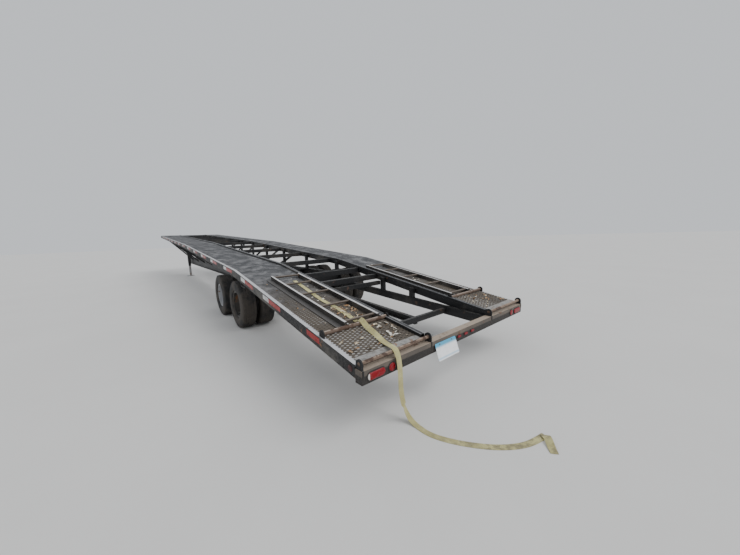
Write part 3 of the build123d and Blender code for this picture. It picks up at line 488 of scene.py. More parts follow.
@dataclass(frozen=True)
class WornSteel(Look):
    """Steel with a coat that is dusty, lighter on top and rusting through, and zones of other colours; the lighter
    top is rubbed wear, and on the ramp and pivot bar paints a painted highlight.
    """

    coat: Colour
    dust: Colour = (0.22, 0.20, 0.17)
    dust_cover: float = 0.35
    # top colour on faces that look up: rubbed wear, and a painted highlight on the ramp and pivot bar paints
    top: Colour = (0.30, 0.29, 0.27)
    top_cover: float = 0.5
    rust: Colour = (0.16, 0.075, 0.035)
    rust_cover: float = 0.18
    roughness: float = 0.55
    metallic: float = 0.0
    bump: float = 0.0006
    zones: tuple[Zone, ...] = ()

    def paint(self, finish: Finish) -> None:
        """Lays dust, lighter tops (rubbed wear, and painted highlight on some paints), rust and zones over the
        coat.
        """
        finish.fix("Metallic", self.metallic)
        dust = finish.times(finish.patches(1.7, self.dust_cover, 0.35), 0.55)
        # lighter tops: rubbed wear, and painted highlight where the top colour is bright
        rubbed_and_highlit = finish.times(finish.upward(0.75), finish.patches(22.0, self.top_cover, 0.3))
        rust = finish.patches(9.0, self.rust_cover, 0.08)
        grain = finish.grain(90.0)
        colour = finish.mix(rubbed_and_highlit, finish.mix(dust, self.coat, self.dust), self.top)
        colour = finish.mix(rust, colour, finish.mix(grain, self.rust, shade(self.rust, 1.9)))
        for zone in self.zones:
            colour = zone.over(finish, colour)
        finish.feed("Base Color", colour)
        finish.feed("Roughness", finish.ramp(grain, 0.3, 0.7, self.roughness - 0.12, self.roughness + 0.2))
        finish.bump(finish.math("ADD", grain, rust), self.bump)


@dataclass(frozen=True)
class DeckSteel(Look):
    """Expanded metal: dark strands, lighter worn tips and brown dirt towards the tail, with painted shade on the
    strands' sides.
    """

    dark: Colour = (0.065, 0.066, 0.070)
    worn: Colour = (0.22, 0.22, 0.225)
    dirt: Colour = (0.095, 0.078, 0.060)
    dirty: Pair = (-5.4, -7.4)       # x where the brown dirt begins, and where it is full

    def paint(self, finish: Finish) -> None:
        """Lays wear, then dirt painted darker on the strands' sides as shade, over the strands."""
        finish.fix("Specular IOR Level", 0.25)
        up = finish.upward(0.55)
        colour = finish.mix(finish.times(finish.patches(6.0, 0.35, 0.4), up), self.dark, self.worn)
        tail = finish.ramp(finish.part(finish.coords(), "X"), *self.dirty)
        # dirt on faces that don't look up is painted darker: painted shade on the strands' sides
        dirt = finish.mix(up, shade(self.dirt, 0.35), self.dirt)
        finish.feed("Base Color", finish.mix(finish.times(tail, finish.patches(8.0, 0.92, 0.35)), colour, dirt))
        grain = finish.grain(120.0)
        finish.feed("Roughness", finish.ramp(grain, 0.3, 0.7, 0.38, 0.65))
        finish.bump(grain, 0.0004)


@dataclass(frozen=True)
class Rubber(Look):
    """Worn rubber with patches of dried mud and dust."""

    rubber: Colour = (0.022, 0.022, 0.023)
    dust: Colour = (0.115, 0.095, 0.075)

    def paint(self, finish: Finish) -> None:
        """Lays dust over the rubber."""
        grain = finish.grain(140.0)
        share = finish.times(finish.patches(4.0, 0.5, 0.35), finish.ramp(grain, 0.3, 0.7, 0.25, 0.75))
        finish.feed("Base Color", finish.mix(share, self.rubber, self.dust))
        finish.feed("Roughness", finish.ramp(grain, 0.3, 0.7, 0.68, 0.92))
        finish.bump(grain, 0.0007)


@dataclass(frozen=True)
class Lens(Look):
    """Clear red plastic over rows of small bright points; beyond a given y, a painted white glint."""

    red: Colour = (0.25, 0.0005, 0.008)
    bright: Colour = (0.52, 0.002, 0.022)
    painted_glint_from: float = 9.0          # y beyond which a painted white glint covers the plastic
    # colour of the painted glint
    clear: Colour = (0.75, 0.70, 0.66)

    def paint(self, finish: Finish) -> None:
        """Lays the points, the painted glint at the outer end, and dirt."""
        finish.fix("Coat Weight", 0.1)
        finish.fix("Specular IOR Level", 0.3)
        point = finish.ramp(finish.cells(95.0, 0.0), 0.45, 0.15)
        dirt = finish.patches(30.0, 0.3, 0.3)
        # mask of the painted glint, beyond the given y
        clear = finish.ramp(finish.part(finish.coords(), "Y"), self.painted_glint_from, self.painted_glint_from + 0.006)
        colour = finish.mix(clear, finish.mix(point, self.red, self.bright), self.clear)
        finish.feed("Base Color", finish.mix(finish.times(dirt, 0.25), colour, (0.10, 0.06, 0.05)))
        finish.feed("Roughness", finish.ramp(dirt, 0.0, 1.0, 0.12, 0.45))
        finish.bump(point, 0.0006)


@dataclass(frozen=True)
class Tape(Look):
    """Reflective tape with a fine cell pattern and some road dirt."""

    colour: Colour

    def paint(self, finish: Finish) -> None:
        """Lays the cells and the dirt."""
        finish.fix("Coat Weight", 0.05)
        finish.fix("Specular IOR Level", 0.3)
        facet = finish.ramp(finish.cells(160.0, 0.2), 0.1, 0.6, 0.75, 1.0)
        colour = finish.mix(facet, shade(self.colour, 0.7), self.colour)
        dirt = finish.patches(14.0, 0.35, 0.3)
        finish.feed("Base Color", finish.mix(finish.times(dirt, 0.4), colour, (0.1, 0.085, 0.07)))
        finish.feed("Roughness", finish.ramp(dirt, 0.0, 1.0, 0.25, 0.6))


@dataclass(frozen=True)
class Webbing(Look):
    """Flat woven strap: ribs across, fine threads along, patches of painted light and shade, muddy towards its end.
    """

    light: Colour = (0.78, 0.72, 0.32)
    shadow: Colour = (0.55, 0.49, 0.20)
    mud: Colour = (0.23, 0.19, 0.095)
    ribs: float = 420.0              # ribs per metre
    threads: float = 26.0            # threads over the width
    muddy: Pair = (2.6, 3.4)         # length along the strap where mud begins, and where it is full

    def paint(self, finish: Finish) -> None:
        """Lays the weave with painted shade in its hollows, patches of painted light and shade, and mud."""
        finish.fix("Sheen Weight", 0.25)
        finish.fix("Roughness", 0.85)
        along = finish.along("Y")
        thread = finish.math("SINE", finish.times(finish.along("X"), self.threads * tau))
        weave = finish.times(thread, finish.math("SINE", finish.times(along, self.ribs * tau / 2)))
        # patches of painted light and shade: light and shadow are the strap's lit and shaded tones
        colour = finish.mix(finish.patches(7.0, 0.5, 0.4), self.shadow, self.light)
        # painted shade in the hollows of the weave
        colour = finish.mix(finish.ramp(weave, -1.0, 1.0, 0.0, 0.25), colour, self.shadow)
        mud = finish.times(finish.patches(16.0, 0.5, 0.25), finish.ramp(along, *self.muddy, 0.0, 0.75))
        finish.feed("Base Color", finish.mix(mud, colour, self.mud))
        finish.bump(weave, 0.0008)


@dataclass(frozen=True)
class PlateFace(Look):
    """Blank plate, white with a pale blue band along its top that fades downwards."""

    white: Colour = (0.96, 0.98, 1.0)
    blue: Colour = (0.07, 0.42, 0.66)

    def paint(self, finish: Finish) -> None:
        """Lays the bands and a little dirt."""
        finish.fix("Coat Weight", 0.3)
        up = finish.along("Y")
        foot = finish.effect(EFFECTS.reach, Value=up, Low=0.09, High=0.14, Edge=0.05)
        share = finish.math("MAXIMUM", finish.ramp(up, 0.66, 0.86), finish.times(foot, 0.45))
        dirt = finish.patches(18.0, 0.3, 0.3)
        colour = finish.mix(share, self.white, self.blue)
        finish.feed("Base Color", finish.mix(finish.times(dirt, 0.12), colour, (0.35, 0.30, 0.24)))
        finish.feed("Roughness", finish.ramp(dirt, 0.0, 1.0, 0.3, 0.6))


@dataclass(frozen=True)
class Leaf(Look):
    """Dry fallen leaves: pale, warm and brown ones."""

    pale: Colour = (0.74, 0.66, 0.50)
    warm: Colour = (0.38, 0.20, 0.085)
    brown: Colour = (0.10, 0.055, 0.03)
    warm_cover: float = 0.4

    def paint(self, finish: Finish) -> None:
        """Scatters the three tones."""
        tone = finish.mix(finish.patches(34.0, 0.6, 0.2), self.brown, self.pale)
        finish.feed("Base Color", finish.mix(finish.patches(21.0, self.warm_cover, 0.15), tone, self.warm))
        finish.fix("Roughness", 0.8)


@dataclass(frozen=True)
class Ground(Look):
    """Plain pale floor."""

    tone: Colour = (0.70, 0.69, 0.67)

    def paint(self, finish: Finish) -> None:
        """Lays a faint cloud over the floor's tone."""
        finish.feed("Base Color", finish.mix(finish.patches(0.6, 0.5, 0.5), self.tone, shade(self.tone, 0.97)))
        finish.fix("Roughness", 0.9)


PITCH_BLACK = (0.009, 0.009, 0.010)
# light grey painted along the inner rails' edges as a highlight
EDGE_HIGHLIGHT = (0.30, 0.30, 0.31)
# dark colour painted on the ramp feet as the shadow beside the ramp rails
FOOT_SHADOW = (0.030, 0.026, 0.023)


class Paint(Enum):
    """Every finish of the trailer, named after what wears it."""

    # Outer rails: black faces, top flange rubbed to pale dusty grey
    RAIL = WornSteel("rail paint", (0.008, 0.008, 0.009), dust_cover=0.25, top=(0.52, 0.52, 0.53), top_cover=0.95,
                     rust_cover=0.06)
    # Frame members: old black paint
    FRAME = WornSteel("frame paint", (0.006, 0.006, 0.007), (0.07, 0.06, 0.05), 0.25, (0.055, 0.052, 0.048), 0.5,
                      (0.06, 0.032, 0.02), 0.08, roughness=0.5)
    # Inner rails: black, with light lines painted along the edges of their top flange as a highlight
    INNER_RAIL = WornSteel("inner rail paint", (0.007, 0.007, 0.008), dust_cover=0.2, top=(0.03, 0.03, 0.032),
                           top_cover=0.5, rust_cover=0.06, roughness=0.42,
                           zones=(Zone("Y", 0.5300, 0.5350, EDGE_HIGHLIGHT, 0.7, upward=True),
                                  Zone("Y", 0.5670, 0.5730, EDGE_HIGHLIGHT, 0.8, upward=True)))
    # Rear beam: tan on top, rubbed to brown-grey on the upper face, dark below, its lugs black
    BEAM = WornSteel("beam paint", (0.10, 0.085, 0.072), (0.20, 0.16, 0.125), 0.5, (0.36, 0.29, 0.225), 0.95,
                     (0.10, 0.052, 0.03), 0.12, roughness=0.65,
                     zones=(Zone("Z", 0.30, 0.470, (0.016, 0.014, 0.013), 0.9, 0.014),
                            Zone("Z", 0.5175, 0.60, PITCH_BLACK, 1.0, 0.001)))
    # Strips at the rear ends of the decks, and the plates below them
    STRIP = WornSteel("strip paint", (0.17, 0.165, 0.155), (0.24, 0.20, 0.16), 0.5, (0.31, 0.30, 0.285), 0.6,
                      rust_cover=0.16, roughness=0.6)
    FASCIA = WornSteel("fascia paint", (0.16, 0.125, 0.095), (0.26, 0.20, 0.15), 0.7, rust_cover=0.2, roughness=0.7)
    LUG = WornSteel("lug paint", PITCH_BLACK, dust_cover=0.2, rust_cover=0.08)
    # Pivot bars gone to an even brown rust, tops painted lighter as a highlight, with black lugs at their ends
    RUSTY = WornSteel("brown rust", (0.115, 0.078, 0.058), (0.19, 0.135, 0.10), 0.6, (0.38, 0.305, 0.25), 0.7,
                      (0.06, 0.034, 0.022), 0.3, roughness=0.75, bump=0.001,
                      zones=(Zone("Y", 0.5300, 0.5505, PITCH_BLACK, edge=0.001),
                             Zone("Y", 1.2685, 1.3000, PITCH_BLACK, edge=0.001)))
    # Bars on the rear beam: brown rust with paler, handled stretches
    REAR_BAR = WornSteel("handled rust", (0.14, 0.092, 0.065), (0.26, 0.19, 0.14), 0.6, (0.40, 0.30, 0.225), 0.65,
                         (0.05, 0.028, 0.018), 0.4, roughness=0.7, bump=0.001,
                         zones=(Zone("Z", 0.530, 0.552, (0.030, 0.020, 0.015), 0.9, 0.004),))
    # Ramps: black, rail tops painted bright as a highlight, rungs gone brown, feet painted dark as the shadow
    # beside the rails
    RAMP = WornSteel("ramp paint", PITCH_BLACK, top=(0.60, 0.59, 0.58), top_cover=0.95, rust_cover=0.08,
                     zones=(Zone("Y", 0.6425, 0.9995, (0.075, 0.056, 0.043)),
                            Zone("Y", 0.6425, 0.9995, (0.19, 0.155, 0.125), 0.7, upward=True),
                            Zone("Y", 0.5500, 0.6145, FOOT_SHADOW, 0.9), Zone("Y", 1.0275, 1.0910, FOOT_SHADOW, 0.9)))
    LEG = WornSteel("dull zinc", (0.33, 0.33, 0.33), top=(0.4, 0.4, 0.4), rust_cover=0.25, metallic=0.6,
                    roughness=0.45)
    SPRING = WornSteel("spring steel", (0.03, 0.026, 0.022), dust_cover=0.6, rust_cover=0.35)
    BLACK_RIM = WornSteel("black wheel", (0.02, 0.02, 0.021), dust_cover=0.45, rust_cover=0.22, roughness=0.45)
    SILVER_RIM = WornSteel("silver wheel", (0.50, 0.51, 0.53), (0.33, 0.29, 0.24), 0.45, (0.5, 0.5, 0.5),
                           rust_cover=0.14, roughness=0.4, metallic=0.3)
    NUT = WornSteel("dull steel", (0.25, 0.24, 0.23), rust_cover=0.4, metallic=0.7, roughness=0.45)
    DECK = DeckSteel("expanded metal")
    TYRE = Rubber("tyre rubber")
    GROMMET = Rubber("lamp grommet", (0.012, 0.012, 0.012), (0.06, 0.055, 0.05))
    # the left tail lamps' outer ends carry a painted white glint
    LENS = Lens("red lens", painted_glint_from=1.228)
    DARK_LENS = Lens("dark red lens", (0.045, 0.001, 0.003), (0.09, 0.003, 0.006))
    TAPE_RED = Tape("red tape", (0.36, 0.002, 0.004))
    TAPE_WHITE = Tape("white tape", (0.78, 0.78, 0.76))
    WEBBING = Webbing("woven strap")
    PLATE = PlateFace("blank plate")
    LEAF = Leaf("dry leaves")
    CHIPS = Leaf("pale chips", (0.85, 0.82, 0.74), (0.40, 0.30, 0.20), (0.28, 0.23, 0.17), 0.3)
    FLOOR = Ground("pale floor")

    @cached_property
    def material(self) -> Material:
        """The material, made when it is first asked for."""
        return self.value.material()


def add_piece(name: str, form: Shape | Mesh, paint: Paint, body: str = "frame",
              stands_for: Sequence[str] = (), smooth: float = SHARP) -> bpy.types.Object:
    """Puts a shape or mesh in the scene as a piece of the object.

    Args:
        name: the piece's name.
        form: its shape or mesh, in place.
        paint: its finish.
        body: the body it rides on.
        stands_for: nodes of the frame that it replaces.
        smooth: a shape's edges sharper than this many degrees stay sharp.

    Returns:
        The new object.
    """
    mesh = form.mesh(name, smooth) if isinstance(form, Shape) else form
    mesh.materials.clear()
    mesh.materials.append(paint.material)
    piece = bpy.data.objects.new(name, mesh)
    bpy.context.scene.collection.objects.link(piece)
    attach(piece, body)
    if stands_for:
        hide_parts(*stands_for)
    LOG.info("%s: %d faces on %s", name, len(mesh.polygons), body)
    return piece


def plain_mesh(holder: bpy.types.Object) -> Mesh:
    """The mesh that an object's curve or modifier gives."""
    graph = bpy.context.evaluated_depsgraph_get()
    return bpy.data.meshes.new_from_object(holder.evaluated_get(graph), depsgraph=graph)


# Repeats


class Repeat(Grouped):
    """A Geometry Nodes tree that ends in plain geometry with one material."""

    def __init__(self, name: str, paint: Paint, takes_mesh: bool = False) -> None:
        super().__init__(name, "GeometryNodeTree")
        self.paint = paint
        self.source = self.takes("Geometry", kind="NodeSocketGeometry") if takes_mesh else None

    def ends(self, geometry: Socket) -> None:
        """Finishes the tree: instances realized, material set."""
        real = self.out("GeometryNodeRealizeInstances", {"Geometry": geometry})
        done = self.out("GeometryNodeSetMaterial", {"Geometry": real, "Material": self.paint.material})
        self.gives("Geometry", done, "NodeSocketGeometry")

    def on_deck_line(self, geometry: Socket, lift: object) -> Socket:
        """Raises flat geometry to the rails' slopes, by the height that each point's x gives.

        Args:
            geometry: what is raised.
            lift: further height.

        Returns:
            The raised geometry.
        """
        x = self.part(self.out("GeometryNodeInputPosition"), "X")
        heights = []
        for number, (height, rise) in enumerate(zip(DECK.intercepts(), DECK.slopes()), 1):
            level, slope = self.takes(f"Height {number}", height), self.takes(f"Rise {number}", rise)
            heights.append(self.math("MULTIPLY_ADD", x, slope, level))
        lowest = self.math("MINIMUM", self.math("MINIMUM", heights[0], heights[1]), heights[2])
        offset = self.combine(Z=self.math("ADD", lowest, lift))
        return self.out("GeometryNodeSetPosition", {"Geometry": geometry, "Offset": offset})

    def bake(self, name: str, values: dict, mesh: Mesh | None = None) -> Mesh:
        """Runs the tree once.

        Args:
            name: name of the new mesh.
            values: the tree's named inputs.
            mesh: what the tree repeats, if it takes a mesh.

        Returns:
            The plain mesh.
        """
        holder = bpy.data.objects.new(name, mesh or bpy.data.meshes.new(name))
        bpy.context.scene.collection.objects.link(holder)
        modifier = holder.modifiers.new("repeat", "NODES")
        modifier.node_group = self.tree
        for label, value in values.items():
            modifier[self.keys[label]] = value
        result = plain_mesh(holder)
        holder.modifiers.remove(modifier)
        bpy.data.objects.remove(holder)
        result.name = name
        result.shade_smooth()
        result.set_sharp_from_angle(angle=radians(SHARP))
        return result


def around_tree(name: str, paint: Paint) -> Repeat:
    """Tree that repeats a mesh drawn about the y axis, then carries it to a centre.

    Args:
        name: the tree's name.
        paint: its finish.

    Returns:
        The tree, with inputs Count, Centre and Start, the first copy's turn.
    """
    tree = Repeat(name, paint, takes_mesh=True)
    count = tree.takes("Count", 8, "NodeSocketInt")
    centre = tree.takes("Centre", (0.0, 0.0, 0.0), "NodeSocketVector")
    start = tree.takes("Start", 0.0)
    points = tree.out("GeometryNodeMeshLine", {"Count": count, "Offset": (0.0, 0.0, 0.0)})
    step = tree.math("DIVIDE", tau, count)
    turn = tree.combine(Y=tree.math("MULTIPLY_ADD", tree.out("GeometryNodeInputIndex"), step, start))
    copies = tree.out("GeometryNodeInstanceOnPoints", {"Points": points, "Instance": tree.source, "Rotation": turn})
    real = tree.out("GeometryNodeRealizeInstances", {"Geometry": copies})
    tree.ends(tree.out("GeometryNodeTransform", {"Geometry": real, "Translation": centre}))
    return tree


# Camera and light


@dataclass(frozen=True)
class PhotoView:
    """The camera at the photograph's place and angle."""

    place: Point = (-9.438957, 2.3727, 1.4325)
    yaw: float = -0.6958             # from +x to +y
    pitch: float = 0.1479            # downwards
    roll: float = 0.0344
    focal: float = 278.0             # in the photograph's pixels
    frame_wide: float = 740.0
    sensor: float = 36.0
    clip_end: float = 400.0

    def build(self) -> None:
        """Makes the camera and puts it in charge of the scene."""
        data = bpy.data.cameras.new("photo view")
        data.sensor_fit = "HORIZONTAL"
        data.sensor_width = self.sensor
        data.lens = self.focal / self.frame_wide * self.sensor
        data.clip_end = self.clip_end
        ahead = Vector((cos(self.yaw) * cos(self.pitch), sin(self.yaw) * cos(self.pitch), -sin(self.pitch)))
        right = Vector((sin(self.yaw), -cos(self.yaw), 0.0))
        down = ahead.cross(right)
        level = right * cos(self.roll) + down * sin(self.roll)
        up = right * sin(self.roll) - down * cos(self.roll)
        camera = bpy.data.objects.new("photo view", data)
        turn = Matrix((level, up, -ahead)).transposed().to_4x4()
        camera.matrix_world = Matrix.Translation(self.place) @ turn
        bpy.context.scene.collection.objects.link(camera)
        bpy.context.scene.camera = camera


@dataclass(frozen=True)
class Studio:
    """Pale floor and soft light."""

    floor_half: float = 90.0
    sky: Colour = (0.80, 0.83, 0.87)
    sky_strength: float = 0.9
    sun_strength: float = 1.6
    sun_angle: float = 40.0          # degrees across, for soft shadows
    sun_turn: Point = (38.0, -18.0, -35.0)       # degrees

    def build(self) -> None:
        """Makes the floor, the sky and one soft light."""
        half = self.floor_half
        floor = bpy.data.meshes.new("floor")
        floor.from_pydata([(-half, -half, 0), (half, -half, 0), (half, half, 0), (-half, half, 0)], [],
                          [(0, 1, 2, 3)])
        floor.materials.append(Paint.FLOOR.material)
        stage = bpy.data.objects.new("floor", floor)
        bpy.context.scene.collection.objects.link(stage)
        world = bpy.data.worlds.new("sky")
        world.use_nodes = True
        back = world.node_tree.nodes["Background"]
        back.inputs[0].default_value = (*self.sky, 1.0)
        back.inputs[1].default_value = self.sky_strength
        bpy.context.scene.world = world
        sun = bpy.data.lights.new("soft sun", "SUN")
        sun.energy = self.sun_strength
        sun.angle = radians(self.sun_angle)
        lamp = bpy.data.objects.new("soft sun", sun)
        lamp.rotation_euler = [radians(a) for a in self.sun_turn]
        bpy.context.scene.collection.objects.link(lamp)


# Strap


@dataclass(frozen=True)
class RoutePoint:
    """One point of the strap's route: station, y and either a rise over the deck's mesh or a height."""

    station: float
    y: float
    rise: float | None = None
    height: float | None = None


@dataclass(frozen=True)
class Strap:
    """Webbing from under the left ramp, over the pivot bar and the rear bar, down and along the ground."""

    wide: float = 0.050
    thick: float = 0.003
    length: float = 3.82
    ground: float = 0.002
    route: tuple[RoutePoint, ...] = (
        RoutePoint(2.100, 0.770, rise=0.001), RoutePoint(1.700, 0.800, rise=0.004),
        RoutePoint(1.300, 0.838, rise=0.001), RoutePoint(1.040, 0.822, rise=0.003),
        RoutePoint(0.850, 0.828, rise=0.002), RoutePoint(0.700, 0.842, rise=0.002),
        RoutePoint(0.600, 0.858, rise=0.005), RoutePoint(0.570, 0.864, height=0.6780),
        RoutePoint(0.520, 0.870, height=0.6800), RoutePoint(0.455, 0.874, rise=0.026),
        RoutePoint(0.330, 0.887, rise=0.018), RoutePoint(0.170, 0.920, rise=0.009),
        RoutePoint(0.064, 0.944, height=0.5850), RoutePoint(0.010, 0.956, height=0.5830),
        RoutePoint(-0.028, 0.960, height=0.5250), RoutePoint(-0.036, 0.954, height=0.4000),
        RoutePoint(-0.026, 0.942, height=0.2500), RoutePoint(-0.036, 0.924, height=0.1200),
        RoutePoint(-0.075, 0.910, height=0.0360), RoutePoint(-0.140, 0.906, height=0.0020),
        RoutePoint(-0.270, 0.912, height=0.0020), RoutePoint(-0.400, 0.862, height=0.0020),
        RoutePoint(-0.535, 0.778, height=0.0020), RoutePoint(-0.655, 0.677, height=0.0020),
        RoutePoint(-0.748, 0.560, height=0.0020), RoutePoint(-0.800, 0.440, height=0.0020),
        RoutePoint(-0.822, 0.320, height=0.0020))
    twist: tuple[Pair, ...] = (      # station, degrees about the strap's own line
        (0.60, 0.0), (0.57, 30.0), (0.52, 38.0), (0.45, 42.0), (0.33, 30.0), (0.17, 6.0), (0.06, 0.0))
    fold_to: Pair = (-0.925, 0.462)  # station and y where the folded end lies
    fold_aside: float = 0.012        # y from the strap's end to the fold's start
    fold_form: tuple[Pair, ...] = (  # rise and lean along the folded end
        (0.0, 0.0), (0.012, 0.25), (0.021, 0.45), (0.020, 0.45), (0.013, 0.3), (0.006, 0.15), (0.003, 0.05),
        (0.001, 0.0))

    def points(self) -> list[Point]:
        """The route in the model's frame."""
        places = []
        for p in self.route:
            z = p.height if p.rise is None else DECK.z(p.station) + DECK.sheet + self.thick / 2 + p.rise
            places.append((DECK.x(p.station), p.y, z))
        return places

    def centreline(self) -> list[Vector]:
        """Points along the route's smooth line.

        Returns:
            The points that a NURBS spline through the route gives.
        """
        data = bpy.data.curves.new("strap route", "CURVE")
        data.dimensions = "3D"
        spline = data.splines.new("NURBS")
        places = self.points()
        spline.points.add(len(places) - 1)
        for point, place in zip(spline.points, places):
            point.co = (*place, 1.0)
        spline.order_u = 3
        spline.use_endpoint_u = True
        spline.resolution_u = 10
        holder = bpy.data.objects.new("strap route", data)
        bpy.context.scene.collection.objects.link(holder)
        mesh = plain_mesh(holder)
        line = [v.co.copy() for v in mesh.vertices]
        bpy.data.objects.remove(holder)
        bpy.data.meshes.remove(mesh)
        return line

    def twist_at(self, station: float) -> float:
        """Turn of the strap about its own line.

        Args:
            station: where along the trailer.

        Returns:
            The turn in radians.
        """
        for (s0, a0), (s1, a1) in zip(self.twist, self.twist[1:]):
            if s1 <= station <= s0:
                share = (s0 - station) / (s0 - s1)
                return radians(a0 + (a1 - a0) * share)
        return 0.0

    def section(self) -> list[Pair]:
        """Cross-section of the webbing: flat, with rounded selvedges."""
        w, t = self.wide / 2, self.thick / 2
        return [(-w, 0), (-w * 0.97, -t), (-w * 0.5, -t), (0, -t), (w * 0.5, -t), (w * 0.97, -t),
                (w, 0), (w * 0.97, t), (w * 0.5, t), (0, t), (-w * 0.5, t), (-w * 0.97, t)]

    def ribbon(self, line: Sequence[Vector], sides: Sequence[Vector], along: float) -> Shape:
        """Makes webbing along a line.

        Args:
            line: its middle.
            sides: the direction of its width at each point.
            along: length of strap before its first point, for the weave.

        Returns:
            The webbing.
        """
        shape, rings = Shape(), []
        for i, (p, side) in enumerate(zip(line, sides)):
            ahead = (line[min(i + 1, len(line) - 1)] - line[max(i - 1, 0)]).normalized()
            side = (side - ahead * side.dot(ahead)).normalized()
            up = ahead.cross(side)
            if i:
                along += (p - line[i - 1]).length
            rings.append([p + side * a + up * b for a, b in self.section()])
            shape.uvs += [(a / self.wide + 0.5, along) for a, _ in self.section()]
        shape.loft(rings)
        return shape

    def build(self) -> None:
        line = self.centreline()
        sides: list[Vector] = []
        last = Vector((0.0, 1.0, 0.0))
        for i, p in enumerate(line):
            ahead = (line[min(i + 1, len(line) - 1)] - line[max(i - 1, 0)]).normalized()
            flat = Vector((-ahead.y, ahead.x, 0.0))
            if flat.length > 0.25:
                flat.normalize()
                last = flat if flat.dot(last) > 0 else -flat
            turn = Matrix.Rotation(self.twist_at(p.x + DECK.middle), 3, ahead)
            sides.append(turn @ last)
        strap = add_piece("strap", self.ribbon(line, sides, 0.0), Paint.WEBBING,
                          stands_for=("strap_run", "strap_tail"), smooth=50.0)
        fold = self.fold(line[-1])

    def fold(self, end: Vector) -> bpy.types.Object:
        """Makes the last hand's length, folded back over itself and lying slantwise.

        Args:
            end: where the straight part ends.

        Returns:
            The folded piece.
        """
        target = Vector((DECK.x(self.fold_to[0]), self.fold_to[1], self.ground))
        start = Vector((end.x, end.y + self.fold_aside, self.ground + 2.2 * self.thick))
        run = target - start
        across = Vector((-run.y, run.x, 0)).normalized()
        line, sides = [], []
        for i, (rise, lean) in enumerate(self.fold_form):
            line.append(start + run * (i / (len(self.fold_form) - 1)) + Vector((0, 0, rise)))
            sides.append((across + Vector((0, 0, lean))).normalized())
        return add_piece("strap_fold", self.ribbon(line, sides, self.length), Paint.WEBBING, smooth=50.0)


# Decks


@dataclass(frozen=True)
class ExpandedDeck:
    """Both decks as expanded metal: zigzag strands that meet at their bonds."""

    long_way: float = 0.0762         # across the track
    short_way: float = 0.0349        # along the track
    strand: float = 0.0050
    lean: float = 0.0080             # how far a strand's top leans over its foot
    first: float = 0.1415            # station of the first strand
    last: float = 16.097
    inner: float = 0.532
    columns: int = 19                # strand stretches across a track

    def tree(self) -> Repeat:
        """Builds the tree of zigzag rows."""
        tree = Repeat("expanded metal", Paint.DECK)
        long_way, short_way = tree.takes("Long way", self.long_way), tree.takes("Short way", self.short_way)
        strand, high = tree.takes("Strand", self.strand), tree.takes("High", DECK.sheet)
        lean, side = tree.takes("Lean", self.lean), tree.takes("Side", 1.0)
        rows = tree.takes("Rows", 100, "NodeSocketInt")
        columns = tree.takes("Columns", self.columns, "NodeSocketInt")
        start, inner = tree.takes("Start", 0.0), tree.takes("Inner", self.inner)
        offset = tree.times(lean, tree.times(side, -1.0))
        profile = tree.out("GeometryNodeCurvePrimitiveQuadrilateral",
                           {"Width": strand, "Height": high, "Offset": offset}, mode="PARALLELOGRAM")
        half_long, half_short = tree.math("DIVIDE", long_way, 2.0), tree.math("DIVIDE", short_way, 2.0)
        step = tree.combine(Y=tree.times(half_long, side))
        count = tree.math("ADD", columns, 1.0)
        index = tree.out("GeometryNodeInputIndex")
        row_start = tree.combine(X=start, Y=tree.times(inner, side))
        row_step = tree.combine(X=half_short)
        row_points = tree.out("GeometryNodeMeshLine",
                              {"Count": rows, "Start Location": row_start, "Offset": row_step})
        joined = tree.add("GeometryNodeJoinGeometry")
        for phase in (0.0, 1.0):
            line = tree.out("GeometryNodeMeshLine", {"Count": count, "Offset": step})
            odd = tree.math("MODULO", tree.math("ADD", index, phase), 2.0)
            shift = tree.combine(X=tree.times(odd, half_short))
            zigzag = tree.out("GeometryNodeSetPosition", {"Geometry": line, "Offset": shift})
            curve = tree.out("GeometryNodeMeshToCurve", {"Mesh": zigzag})
            upright = tree.out("GeometryNodeSetCurveNormal", {"Curve": curve}, mode="Z_UP")
            blade = tree.out("GeometryNodeCurveToMesh",
                             {"Curve": upright, "Profile Curve": profile, "Fill Caps": True})
            chosen = tree.math("COMPARE", tree.math("MODULO", index, 2.0), phase, 0.1)
            copies = tree.out("GeometryNodeInstanceOnPoints",
                              {"Points": row_points, "Instance": blade, "Selection": chosen})
            tree.tree.links.new(copies, joined.inputs[0])
        real = tree.out("GeometryNodeRealizeInstances", {"Geometry": joined.outputs[0]})
        tree.ends(tree.on_deck_line(real, tree.math("DIVIDE", high, 2.0)))
        return tree

    def build(self) -> None:
        """Makes the two decks."""
        tree = self.tree()
        rows = int((self.last - self.first) / (self.short_way / 2))
        for side, word in SIDES.items():
            mesh = tree.bake(f"mesh_{word}", {"Rows": rows, "Side": float(side), "Start": DECK.x(self.first)})
            add_piece(f"mesh_{word}", mesh, Paint.DECK, stands_for=(f"deck_{word}",))


@dataclass(frozen=True)
class Bed:
    """Stretch of deck where leaves lie: stations, y from and to, leaves per square metre."""

    name: str
    stations: Pair
    across: Pair
    density: float
    sides: tuple[int, ...] = BOTH
    size: float = 1.0
    paint: Paint = Paint.LEAF


